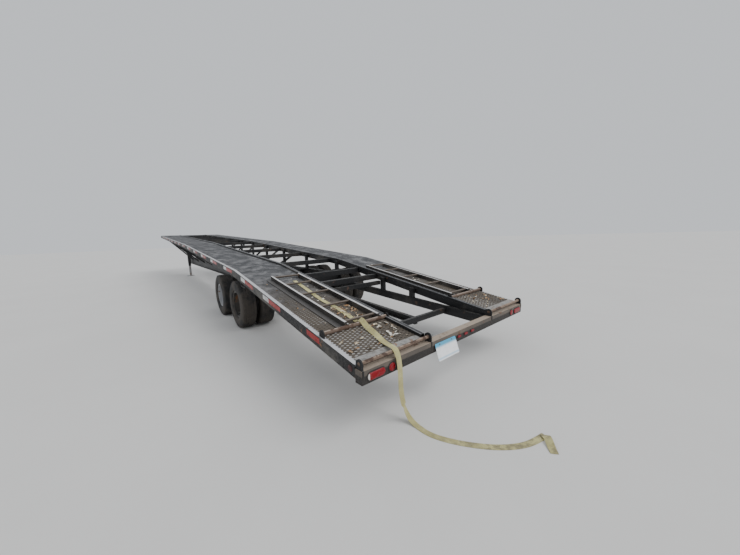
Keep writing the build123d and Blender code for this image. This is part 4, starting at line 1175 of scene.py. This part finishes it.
@dataclass(frozen=True)
class Leaves:
    """Dry leaves and chips that lie on the decks, thickest in the rear bays."""

    long: float = 0.036
    wide: float = 0.020
    curl: float = 6.0
    lift: float = 0.0085             # over the deck line: just above the mesh
    beds: tuple[Bed, ...] = (
        Bed("tail", (0.16, 0.50), (0.61, 1.23), 150.0),
        Bed("corner", (0.17, 0.50), (0.60, 0.80), 330.0, (1,), paint=Paint.CHIPS),
        Bed("far_corner", (0.20, 0.50), (0.61, 0.98), 60.0, (-1,), paint=Paint.CHIPS),
        Bed("pile", (0.66, 1.02), (0.660, 0.90), 900.0, (1,)),
        Bed("ramp", (1.06, 2.22), (0.66, 0.97), 55.0, size=0.9, paint=Paint.CHIPS),
        Bed("side", (0.62, 2.25), (1.12, 1.23), 60.0, size=0.8),
        Bed("deck", (2.35, 9.00), (0.61, 1.24), 7.0, paint=Paint.CHIPS))

    def tree(self, paint: Paint) -> Repeat:
        """Builds the tree that scatters curled leaves over a bed.

        Args:
            paint: the leaves' finish.

        Returns:
            The tree, with inputs Density, Seed and Size beside the leaf's own sizes.
        """
        tree = Repeat(paint.value.name, paint, takes_mesh=True)
        density, seed = tree.takes("Density", 50.0), tree.takes("Seed", 1, "NodeSocketInt")
        long, wide = tree.takes("Long", self.long), tree.takes("Wide", self.wide)
        curl, size_of = tree.takes("Curl", self.curl), tree.takes("Size", 1.0)
        points = tree.out("GeometryNodeDistributePointsOnFaces",
                          {"Mesh": tree.source, "Density": density, "Seed": seed})
        disc = tree.out("GeometryNodeMeshCircle", {"Vertices": 8, "Radius": 0.5}, fill_type="TRIANGLE_FAN")
        leaf = tree.out("GeometryNodeTransform", {"Geometry": disc, "Scale": tree.combine(X=long, Y=wide, Z=1.0)})
        place = tree.out("GeometryNodeInputPosition")
        cup = tree.times(tree.math("POWER", tree.part(place, "X"), 2.0), curl)
        crease = tree.times(tree.math("ABSOLUTE", tree.part(place, "Y")), 0.5)
        raised = tree.combine(Z=tree.math("ADD", cup, crease))
        bent = tree.out("GeometryNodeSetPosition", {"Geometry": leaf, "Offset": raised})
        turn = tree.out("FunctionNodeRandomValue", {0: (-0.5, -0.5, 0.0), 1: (0.5, 0.5, tau), "Seed": seed},
                        data_type="FLOAT_VECTOR")
        scale = tree.add("FunctionNodeRandomValue", {2: 0.5, 3: 1.5, "Seed": seed}, data_type="FLOAT").outputs[1]
        tree.ends(tree.out("GeometryNodeInstanceOnPoints",
                           {"Points": points, "Instance": bent, "Rotation": turn,
                            "Scale": tree.times(scale, size_of)}))
        return tree

    def ground(self, bed: Bed) -> Mesh:
        """Flat face under a bed on each of its sides, just above the mesh."""
        (s0, s1), (y0, y1) = bed.stations, bed.across
        shape = Shape()
        for side in bed.sides:
            corners = [(s0, y0), (s1, y0), (s1, y1), (s0, y1)]
            shape.add([(DECK.x(s), side * y, DECK.z(s) + self.lift) for s, y in corners], [(0, 1, 2, 3)])
        mesh = bpy.data.meshes.new("bed")
        mesh.from_pydata(shape.verts, [], shape.faces)
        return mesh

    def build(self) -> None:
        """Makes the leaves of each bed."""
        trees = {paint: self.tree(paint) for paint in (Paint.LEAF, Paint.CHIPS)}
        for number, bed in enumerate(self.beds, 1):
            name = f"leaves_{bed.name}"
            values = {"Density": bed.density, "Seed": number, "Size": bed.size}
            add_piece(name, trees[bed.paint].bake(name, values, self.ground(bed)), bed.paint)


@dataclass(frozen=True)
class TrackEdges:
    """Raised cap along each inner rail, and the angle across the rear end of each deck."""

    cap: Pair = (0.5305, 0.5725)     # y of its sides
    cap_high: float = 0.035          # over the deck line
    cap_bevel: float = 0.002
    wall: float = 0.005
    cap_ends: tuple[float, ...] = (0.0785, 3.0, 8.0, 15.54)
    strip: Pair = (0.0785, 0.1390)   # stations
    across: Pair = (0.5740, 1.2560)
    fascia: Pair = (0.0785, 0.0835)  # stations
    fascia_across: Pair = (0.5745, 1.2445)
    beam_top: float = 0.5165

    def cap_section(self) -> list[Pair]:
        """Cap's outline: an upturned channel."""
        (y0, y1), top, wall, bevel = self.cap, self.cap_high, self.wall, self.cap_bevel
        return [(y0, 0.0), (y0 + wall, 0.0), (y0 + wall, top - wall), (y1 - wall, top - wall), (y1 - wall, 0.0),
                (y1, 0.0), (y1, top - bevel), (y1 - bevel, top), (y0 + bevel, top), (y0, top - bevel)]

    def build(self) -> None:
        """Makes the caps, and the flat and the upright leg of the angles."""
        caps, strips, fascias = Shape(), Shape(), Shape()
        s0, s1 = self.fascia
        for side in BOTH:
            caps.along_deck(self.cap_section(), self.cap_ends, side)
            strips.along_deck(rectangle(*self.across, 0.0, DECK.sheet), self.strip, side)
            y0, y1 = sorted(side * y for y in self.fascia_across)
            fascias.box((DECK.x(s0), y0, self.beam_top), (DECK.x(s1), y1, DECK.z(s0)))
        add_piece("rail_caps", caps, Paint.INNER_RAIL)
        add_piece("end_strips", strips, Paint.STRIP)
        add_piece("end_fascias", fascias, Paint.FASCIA)


@dataclass(frozen=True)
class RearFrame:
    """Stringer along the middle between the rear chords, and the channel across their front posts."""

    stringer: Pair = (0.605, 2.895)  # stations
    stringer_drop: float = 0.044     # below the chords' tops
    stringer_size: Pair = (0.050, 0.076)
    tie_station: float = 1.756
    tie_half: float = 0.479
    tie_drop: float = 0.062          # below the deck line
    tie_size: Pair = (0.040, 0.060)
    wall: float = 0.005
    chord: tuple[Pair, Pair] = ((0.076, 0.516), (2.900, 0.660))

    def chord_top(self, station: float) -> float:
        """Height of the rear chords' tops."""
        (s0, z0), (s1, z1) = self.chord
        return z0 + (z1 - z0) * (station - s0) / (s1 - s0)

    def channel(self, wide: float, high: float) -> list[Pair]:
        """Channel's outline with its top edge at 0, open to the side."""
        w = self.wall
        return [(0.0, 0.0), (wide, 0.0), (wide, -w), (w, -w), (w, w - high), (wide, w - high), (wide, -high),
                (0.0, -high)]

    def build(self) -> None:
        """Makes both members."""
        shape = Shape()
        shape.loft([[(DECK.x(s), a, self.chord_top(s) - self.stringer_drop + b)
                     for a, b in self.channel(*self.stringer_size)] for s in self.stringer])
        x, z = DECK.x(self.tie_station), DECK.z(self.tie_station) - self.tie_drop
        shape.loft([[(x + a, y, z + b) for a, b in self.channel(*self.tie_size)]
                    for y in (-self.tie_half, self.tie_half)])
        add_piece("rear_ties", shape, Paint.FRAME)


@dataclass(frozen=True)
class LugPlates:
    """Plates from the rear beam's lugs down its face."""

    places: Pair = (0.530, 1.283)    # y of their middles
    half: float = 0.006
    foot: float = 0.474
    top: float = 0.522
    proud: float = 0.0045

    def build(self) -> None:
        """Makes the plates."""
        shape, x = Shape(), DECK.x(0.0)
        for side in BOTH:
            for y in self.places:
                shape.box((x - self.proud, side * y - self.half, self.foot), (x, side * y + self.half, self.top))
        add_piece("lug_plates", shape, Paint.LUG)


# Rails, lamps and plate


@dataclass(frozen=True)
class RailTape:
    """Red and white reflective tape along the outer rails."""

    face: float = 1.295              # the rail's outer face
    proud: float = 0.0006
    drop: float = 0.014              # from the rail top to the tape
    high: float = 0.052
    red: float = 0.32
    white: float = 0.17
    starts: tuple[float, ...] = (1.35, 2.19, 3.13, 4.11)     # stations of the rear strips, unevenly laid
    tail: Pair = (0.56, 0.78)        # red strip without a white one
    pitch: float = 0.95
    last: float = 15.40

    def strips(self, first: float, long: float, side: int) -> Mesh:
        """Strips of one colour on one side, flat below the deck line at z = 0.

        Args:
            first: from the start of each red strip to these.
            long: their length.
            side: 1 is left, -1 is right.

        Returns:
            The mesh.
        """
        starts = list(self.starts)
        while starts[-1] + self.pitch < self.last:
            starts.append(starts[-1] + self.pitch)
        spans = [(start + first, start + first + long) for start in starts]
        if not first:
            spans.append(self.tail)
        y0, y1 = sorted((side * self.face, side * (self.face + self.proud)))
        shape = Shape()
        for s0, s1 in spans:
            shape.box((DECK.x(s0), y0, -self.drop - self.high), (DECK.x(s1), y1, -self.drop))
        return shape.mesh("strips")

    def build(self) -> None:
        """Makes the strips of both sides."""
        for colour, paint, first, long in (("red", Paint.TAPE_RED, 0.0, self.red),
                                           ("white", Paint.TAPE_WHITE, self.red, self.white)):
            tree = Repeat(f"{colour} tape", paint, takes_mesh=True)
            tree.ends(tree.on_deck_line(tree.source, 0.0))
            for side, word in SIDES.items():
                name = f"tape_{colour}_{word}"
                add_piece(name, tree.bake(name, {}, self.strips(first, long, side)), paint)


@dataclass(frozen=True)
class Lamp:
    """One lamp: a domed lens in a rubber grommet, on a face that looks to the rear or to a side."""

    wide: float
    high: float
    round_by: float
    proud: float
    grommet: float = 0.007           # width of the rubber around the lens

    def skin(self, shape: Shape, steps: Iterable[Pair], put: Put, closed: bool = False) -> None:
        """Adds a skin through outlines of the lamp.

        Args:
            shape: the shape that gets it.
            steps: how far each outline is drawn in, and how far raised.
            put: turns (across, up, out) into a place in the model.
            closed: whether the last outline joins the first.
        """
        rings = []
        for inset, rise in steps:
            outline = slot_ring(self.wide - 2 * inset, self.high - 2 * inset, self.round_by - inset)
            rings.append([put(a, b, rise) for a, b in outline])
        shape.loft(rings, closed)

    def add_to(self, lenses: Shape, grommets: Shape, put: Put) -> None:
        """Adds the lens and the rubber around it to their shapes, where put says."""
        p, r, g = self.proud, self.round_by, self.grommet
        self.skin(lenses, ((0.0, 0.0), (0.0, 0.55 * p), (0.06 * r, 0.78 * p), (0.22 * r, 0.94 * p), (0.5 * r, p),
                           (0.92 * r, p)), put)
        self.skin(grommets, ((0.0005, 0.0), (0.0005, 0.5 * p), (-0.3 * g, 0.55 * p), (-0.8 * g, 0.4 * p),
                             (-g, 0.0)), put, closed=True)


@dataclass(frozen=True)
class Lamps:
    """Tail lamps on the rear beam and round markers on the rails."""

    height: float = 0.462
    tail: tuple[tuple[Lamp, tuple[float, ...]], ...] = (     # lamps and the y of each
        (Lamp(0.165, 0.057, 0.0284, 0.012), (1.163, -1.163)),
        (Lamp(0.064, 0.064, 0.0319, 0.012), (1.008, -1.008)),
        (Lamp(0.052, 0.022, 0.006, 0.012, 0.004), (-0.116, 0.0, 0.116)))
    marker: Lamp = Lamp(0.052, 0.052, 0.0259, 0.005, 0.006)
    marker_station: float = 0.130
    marker_drop: float = 0.051
    rail_face: float = 1.295

    def on_beam(self, y: float) -> Put:
        """Places about a middle on the rear beam's face."""
        return lambda a, b, out: (DECK.x(0.0) - out, y + a, self.height + b)

    def on_rail(self, side: int) -> Put:
        """Places about a marker's middle on an outer rail's face."""
        x, z = DECK.x(self.marker_station), DECK.z(self.marker_station) - self.marker_drop
        return lambda a, b, out: (x + a, side * (self.rail_face + out), z + b)

    def dress(self, word: str, paint: Paint, node: str, lamps: Iterable[tuple[Lamp, Put]]) -> None:
        """Makes the lenses and grommets of one kind of lamp.

        Args:
            word: start of the pieces' names.
            paint: the lenses' finish.
            node: the node that the lenses replace.
            lamps: each lamp and its places.
        """
        lenses, grommets = Shape(), Shape()
        for lamp, put in lamps:
            lamp.add_to(lenses, grommets, put)
        add_piece(f"{word}_lenses", lenses, paint, stands_for=(node,), smooth=50.0)
        add_piece(f"{word}_grommets", grommets, Paint.GROMMET)

    def build(self) -> None:
        """Makes the tail lamps and the markers."""
        self.dress("lamp", Paint.LENS, "lamps", [(lamp, self.on_beam(y)) for lamp, ys in self.tail for y in ys])
        self.dress("marker", Paint.DARK_LENS, "markers", [(self.marker, self.on_rail(side)) for side in BOTH])


@dataclass(frozen=True)
class Plate:
    """Blank plate on a tab below the rear beam, its foot bent out."""

    wide: float = 0.305
    high: float = 0.152
    thick: float = 0.0014
    corner: float = 0.012
    middle_y: float = 0.338
    top: float = 0.486
    tilt: float = 19.0               # degrees
    rim: tuple[Pair, ...] = (        # inset, and height over the sheet's face
        (0.003, 0.0012), (0.006, 0.0012), (0.009, 0.0), (0.060, 0.0))
    bolt_side: float = 0.089         # from the middle to each bolt
    bolt_drop: float = 0.014
    bolt: float = 0.013
    tab_half: float = 0.05

    def place(self, a: float, b: float, out: float) -> Point:
        """Place of a point a across from the middle and b down from the top."""
        lean = radians(self.tilt)
        ripple = 0.0025 * sin(9.0 * a / self.wide + 1.0) * (b / self.high) ** 2
        rear = 0.003 + b * sin(lean) + ripple + out * cos(lean)
        return (DECK.x(0.0) - rear, self.middle_y + a, self.top - b * cos(lean) + out * sin(lean))

    def build(self) -> None:
        """Makes the sheet with its rim, and two bolts on the tab."""
        sheet, rings = Shape(), []
        steps = [(0.0, 0.0), (0.0, self.thick)] + [(inset, self.thick + rise) for inset, rise in self.rim]
        for inset, out in steps:
            outline = slot_ring(self.wide - 2 * inset, self.high - 2 * inset, max(self.corner - inset, 0.003), 6)
            rings.append([self.place(a, self.high / 2 - b, out) for a, b in outline])
            sheet.uvs += [(a / self.wide + 0.5, b / self.high + 0.5) for a, b in outline]
        sheet.loft(rings)
        add_piece("plate_sheet", sheet, Paint.PLATE, stands_for=("plate",))
        bolts = Shape()
        ring = slot_ring(self.bolt, self.bolt, 0.0064, 2)
        for a in (-self.bolt_side, self.bolt_side):
            bolts.loft([[self.place(a + p * k, self.bolt_drop - q * k, out) for p, q in ring]
                        for k, out in ((1.0, 0.0), (1.0, 0.005), (0.7, 0.0065))])
        x, y, half = DECK.x(0.0), self.middle_y, self.tab_half
        bolts.box((x - 0.004, y - half, self.top - 0.030), (x - 0.0002, y + half, self.top - 0.001))
        add_piece("plate_bolts", bolts, Paint.NUT)


# Wheels


@dataclass(frozen=True)
class Wheels:
    """Twin tyres, nuts and hub details on each of the four wheel bodies."""

    height: float = 0.391
    stations: tuple[tuple[Axle, float], ...] = ((Axle.REAR, 3.450), (Axle.FRONT, 4.570))
    outer: float = 1.102             # mid plane of the outer tyre
    inner: float = 0.807
    tread: float = 0.391
    groove: float = 0.0075
    blocks: int = 60
    nuts: int = 8
    nut_circle: float = 0.0826
    nut_from: float = 0.9645         # outer face of the disc
    nut_steps: tuple[tuple[float, float, float, int], ...] = (       # radius, y from and to, corners
        (0.0155, 0.0, 0.004, 12), (0.0145, 0.004, 0.022, 6), (0.008, 0.022, 0.034, 8))
    cap_face: float = 1.0245         # y of the hub cap's rim
    cap_rim: tuple[Pair, ...] = ((0.0625, 0.010), (0.066, 0.009), (0.066, 0.001), (0.0625, 0.0))
    cap_bolts: int = 6
    cap_circle: float = 0.054
    cap_bolt: float = 0.006
    stem: tuple[Pair, ...] = ((0.168, 1.020), (0.150, 1.050), (0.146, 1.075))        # radius and y
    half_profile: tuple[Pair, ...] = (
        (0.2066, 0.0812), (0.2228, 0.0814), (0.2262, 0.0905), (0.2330, 0.1010), (0.2400, 0.1068),
        (0.2440, 0.1090), (0.2475, 0.1094), (0.2560, 0.1122), (0.2780, 0.1163), (0.3000, 0.1172),
        (0.3180, 0.1166), (0.3240, 0.1172), (0.3275, 0.1160), (0.3420, 0.1130), (0.3560, 0.1098),
        (0.3680, 0.1055), (0.3765, 0.1000), (0.3815, 0.0950), (0.3832, 0.0880), (0.3838, 0.0))
    ribs: tuple[Pair, ...] = (
        (-0.0960, -0.0590), (-0.0520, -0.0225), (-0.0150, 0.0150), (0.0225, 0.0520), (0.0590, 0.0960))

    def carcass(self, centre: Point, middles: Iterable[float]) -> Shape:
        """Tyre bodies about one hub."""
        half = list(self.half_profile)
        profile = [(r, -y) for r, y in half[:-1]] + list(reversed(half))
        shape = Shape()
        for middle in middles:
            shape.revolve([(r, y + middle) for r, y in profile], centre, 96)
        return shape

    def tread_blocks(self, middles: Iterable[float]) -> Mesh:
        """One row of tread blocks for each tyre, at the top of the wheel, about the origin."""
        shape = Shape()
        half = pi * self.tread / self.blocks - 0.0026
        foot = self.tread - self.groove - 0.002
        for middle in middles:
            for number, (y0, y1) in enumerate(self.ribs):
                shift = 0.008 * (number % 2)
                drop = 0.0035 if number in (0, 4) else 0.0
                rings = []
                for x, r in ((-half, foot), (half, foot), (half, self.tread), (-half, self.tread)):
                    low = drop if r == self.tread else 0.0
                    ends = ((y0, low if number == 0 else 0.0), (y1, low if number == 4 else 0.0))
                    rings.append([(x + shift, middle + y, r - d) for y, d in ends])
                a, b, c, d = rings
                shape.add([a[0], b[0], c[0], d[0], a[1], b[1], c[1], d[1]],
                          [(0, 1, 2, 3), (4, 7, 6, 5), (0, 4, 5, 1), (1, 5, 6, 2), (2, 6, 7, 3), (3, 7, 4, 0)])
        return shape.mesh("tread row", 30.0)

    def nut(self, side: int) -> Mesh:
        """One wheel nut on its stud, at the top of its circle, about the origin."""
        shape = Shape()
        for radius, y0, y1, corners in self.nut_steps:
            shape.loft([polygon(0.0, side * (self.nut_from + y), self.nut_circle, radius * shrink, corners)
                        for y, shrink in ((y0, 1.0), (y1 - 0.0015, 1.0), (y1, 0.88))])
        return shape.mesh("nut", 30.0)

    def hub_parts(self, centre: Point, side: int) -> Shape:
        """Hub cap rim, its bolts and a valve stem."""
        shape = Shape()
        cx, _, cz = centre
        y = side * self.cap_face
        shape.revolve([(r, y - side * back) for r, back in self.cap_rim], centre, 48)
        for k in range(self.cap_bolts):
            a = tau * (k + 0.5) / self.cap_bolts
            x, z = cx + self.cap_circle * cos(a), cz + self.cap_circle * sin(a)
            shape.loft([polygon(x, y + side * out, z, self.cap_bolt * shrink, 6)
                        for out, shrink in ((-0.001, 1.0), (0.005, 1.0), (0.006, 0.8))])
        shape.tube([(cx + r * cos(0.6), side * out, cz + r * sin(0.6)) for r, out in self.stem], 0.0045, 8)
        return shape

    def build(self) -> None:
        """Dresses all four wheels."""
        tread, nuts = around_tree("tread", Paint.TYRE), around_tree("wheel nuts", Paint.NUT)
        for axle, station in self.stations:
            for side, word in SIDES.items():
                tag = f"{axle.value}_{word}"
                body = f"wheel_{tag}"
                centre = (DECK.x(station), 0.0, self.height)
                middles = [side * self.outer, side * self.inner]
                add_piece(f"carcass_{tag}", self.carcass(centre, middles), Paint.TYRE, body,
                          (f"tyres_{tag}",), 40.0)
                turned = {"Centre": centre, "Start": 0.13 * station}
                rows = tread.bake(f"tread_{tag}", {"Count": self.blocks, **turned}, self.tread_blocks(middles))
                add_piece(f"tread_{tag}", rows, Paint.TYRE, body)
                ring = nuts.bake(f"nuts_{tag}", {"Count": self.nuts, **turned}, self.nut(side))
                add_piece(f"nuts_{tag}", ring, Paint.NUT, body)
                add_piece(f"hub_{tag}", self.hub_parts(centre, side), Paint.NUT, body, smooth=30.0)


# Ramps


@dataclass(frozen=True)
class RampFeet:
    """Flat strips along the foot of each ramp's rails, on their outer sides; their dark paint is painted shadow
    beside the rails.
    """

    ends: Pair = (0.605, 2.255)      # stations
    spans: tuple[Pair, Pair] = ((0.5765, 0.6155), (1.0265, 1.0885))      # y from and to
    rise: float = 0.0068             # underside over the deck line
    thick: float = 0.006

    def build(self) -> None:
        """Makes the strips of each ramp."""
        for side, word in SIDES.items():
            shape = Shape()
            for span in self.spans:
                shape.along_deck(rectangle(*span, self.rise, self.rise + self.thick), self.ends, side)
            add_piece(f"ramp_feet_{word}", shape, Paint.RAMP, f"ramp_{word}")


@dataclass(frozen=True)
class RampWelds:
    """Weld beads where the ramps' rungs meet their rails."""

    stations: tuple[float, ...] = (0.620, 1.040, 1.460, 1.880, 2.240)
    rung_low: float = 0.044
    rung: float = 0.013
    faces: tuple[Pair, Pair] = ((0.641, 1.0), (1.001, -1.0))     # y of a rail's face, and which way it looks
    bead: float = 0.0035
    points: int = 24

    def ring(self, station: float, y: float, side: int) -> list[Point]:
        """Line of one bead around its rung, uneven as beads are.

        Args:
            station: the rung's station.
            y: distance of the bead from the middle.
            side: 1 is left, -1 is right.

        Returns:
            The line's points, once around.
        """
        x, z = DECK.x(station), DECK.z(station) + self.rung_low
        line = []
        for k in range(self.points):
            a = tau * k / self.points
            r = self.rung + self.bead * (0.35 + 0.12 * sin(5 * a + station))
            line.append((x + r * cos(a), side * y, z + r * sin(a)))
        return line

    def build(self) -> None:
        """Makes the beads of each ramp."""
        for side, word in SIDES.items():
            shape = Shape()
            for station in self.stations:
                for y, way in self.faces:
                    shape.tube(self.ring(station, y + self.bead * 0.4 * way, side), self.bead, 6, closed=True)
            add_piece(f"welds_{word}", shape, Paint.SPRING, f"ramp_{word}", smooth=60.0)


# The frame's own nodes


NODE_PAINTS = {"outer_rail_left": Paint.RAIL, "outer_rail_right": Paint.RAIL, "rear_beam": Paint.BEAM,
               "inner_rails": Paint.INNER_RAIL, "rear_bars": Paint.REAR_BAR, "ramp_bars": Paint.RUSTY,
               "ramp_left": Paint.RAMP, "ramp_right": Paint.RAMP, "jack_legs": Paint.LEG,
               "springs": Paint.SPRING, "wheel_rear_left": Paint.BLACK_RIM, "wheel_rear_right": Paint.BLACK_RIM,
               "wheel_front_left": Paint.SILVER_RIM, "wheel_front_right": Paint.SILVER_RIM}


def dress_nodes() -> None:
    """Gives every node of the frame its finish; black paint where the table names none."""
    for name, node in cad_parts.items():
        finish = NODE_PAINTS.get(name, Paint.FRAME).material
        if node.data.materials:
            for index in range(len(node.data.materials)):
                node.data.materials[index] = finish
        else:
            node.data.materials.append(finish)
        LOG.info("%s: %s", name, finish.name)


def main() -> None:
    """Builds the camera, the cord, every piece and the stage."""
    logging.basicConfig(level=logging.INFO, format="%(message)s")
    PhotoView().build()
    Strap().build()
    dress_nodes()
    for part in (ExpandedDeck(), Leaves(), TrackEdges(), RearFrame(), LugPlates(), RailTape(), Lamps(), Plate(),
                 Wheels(), RampFeet(), RampWelds()):
        part.build()
    Studio().build()


if __name__ == "__main__":
    main()
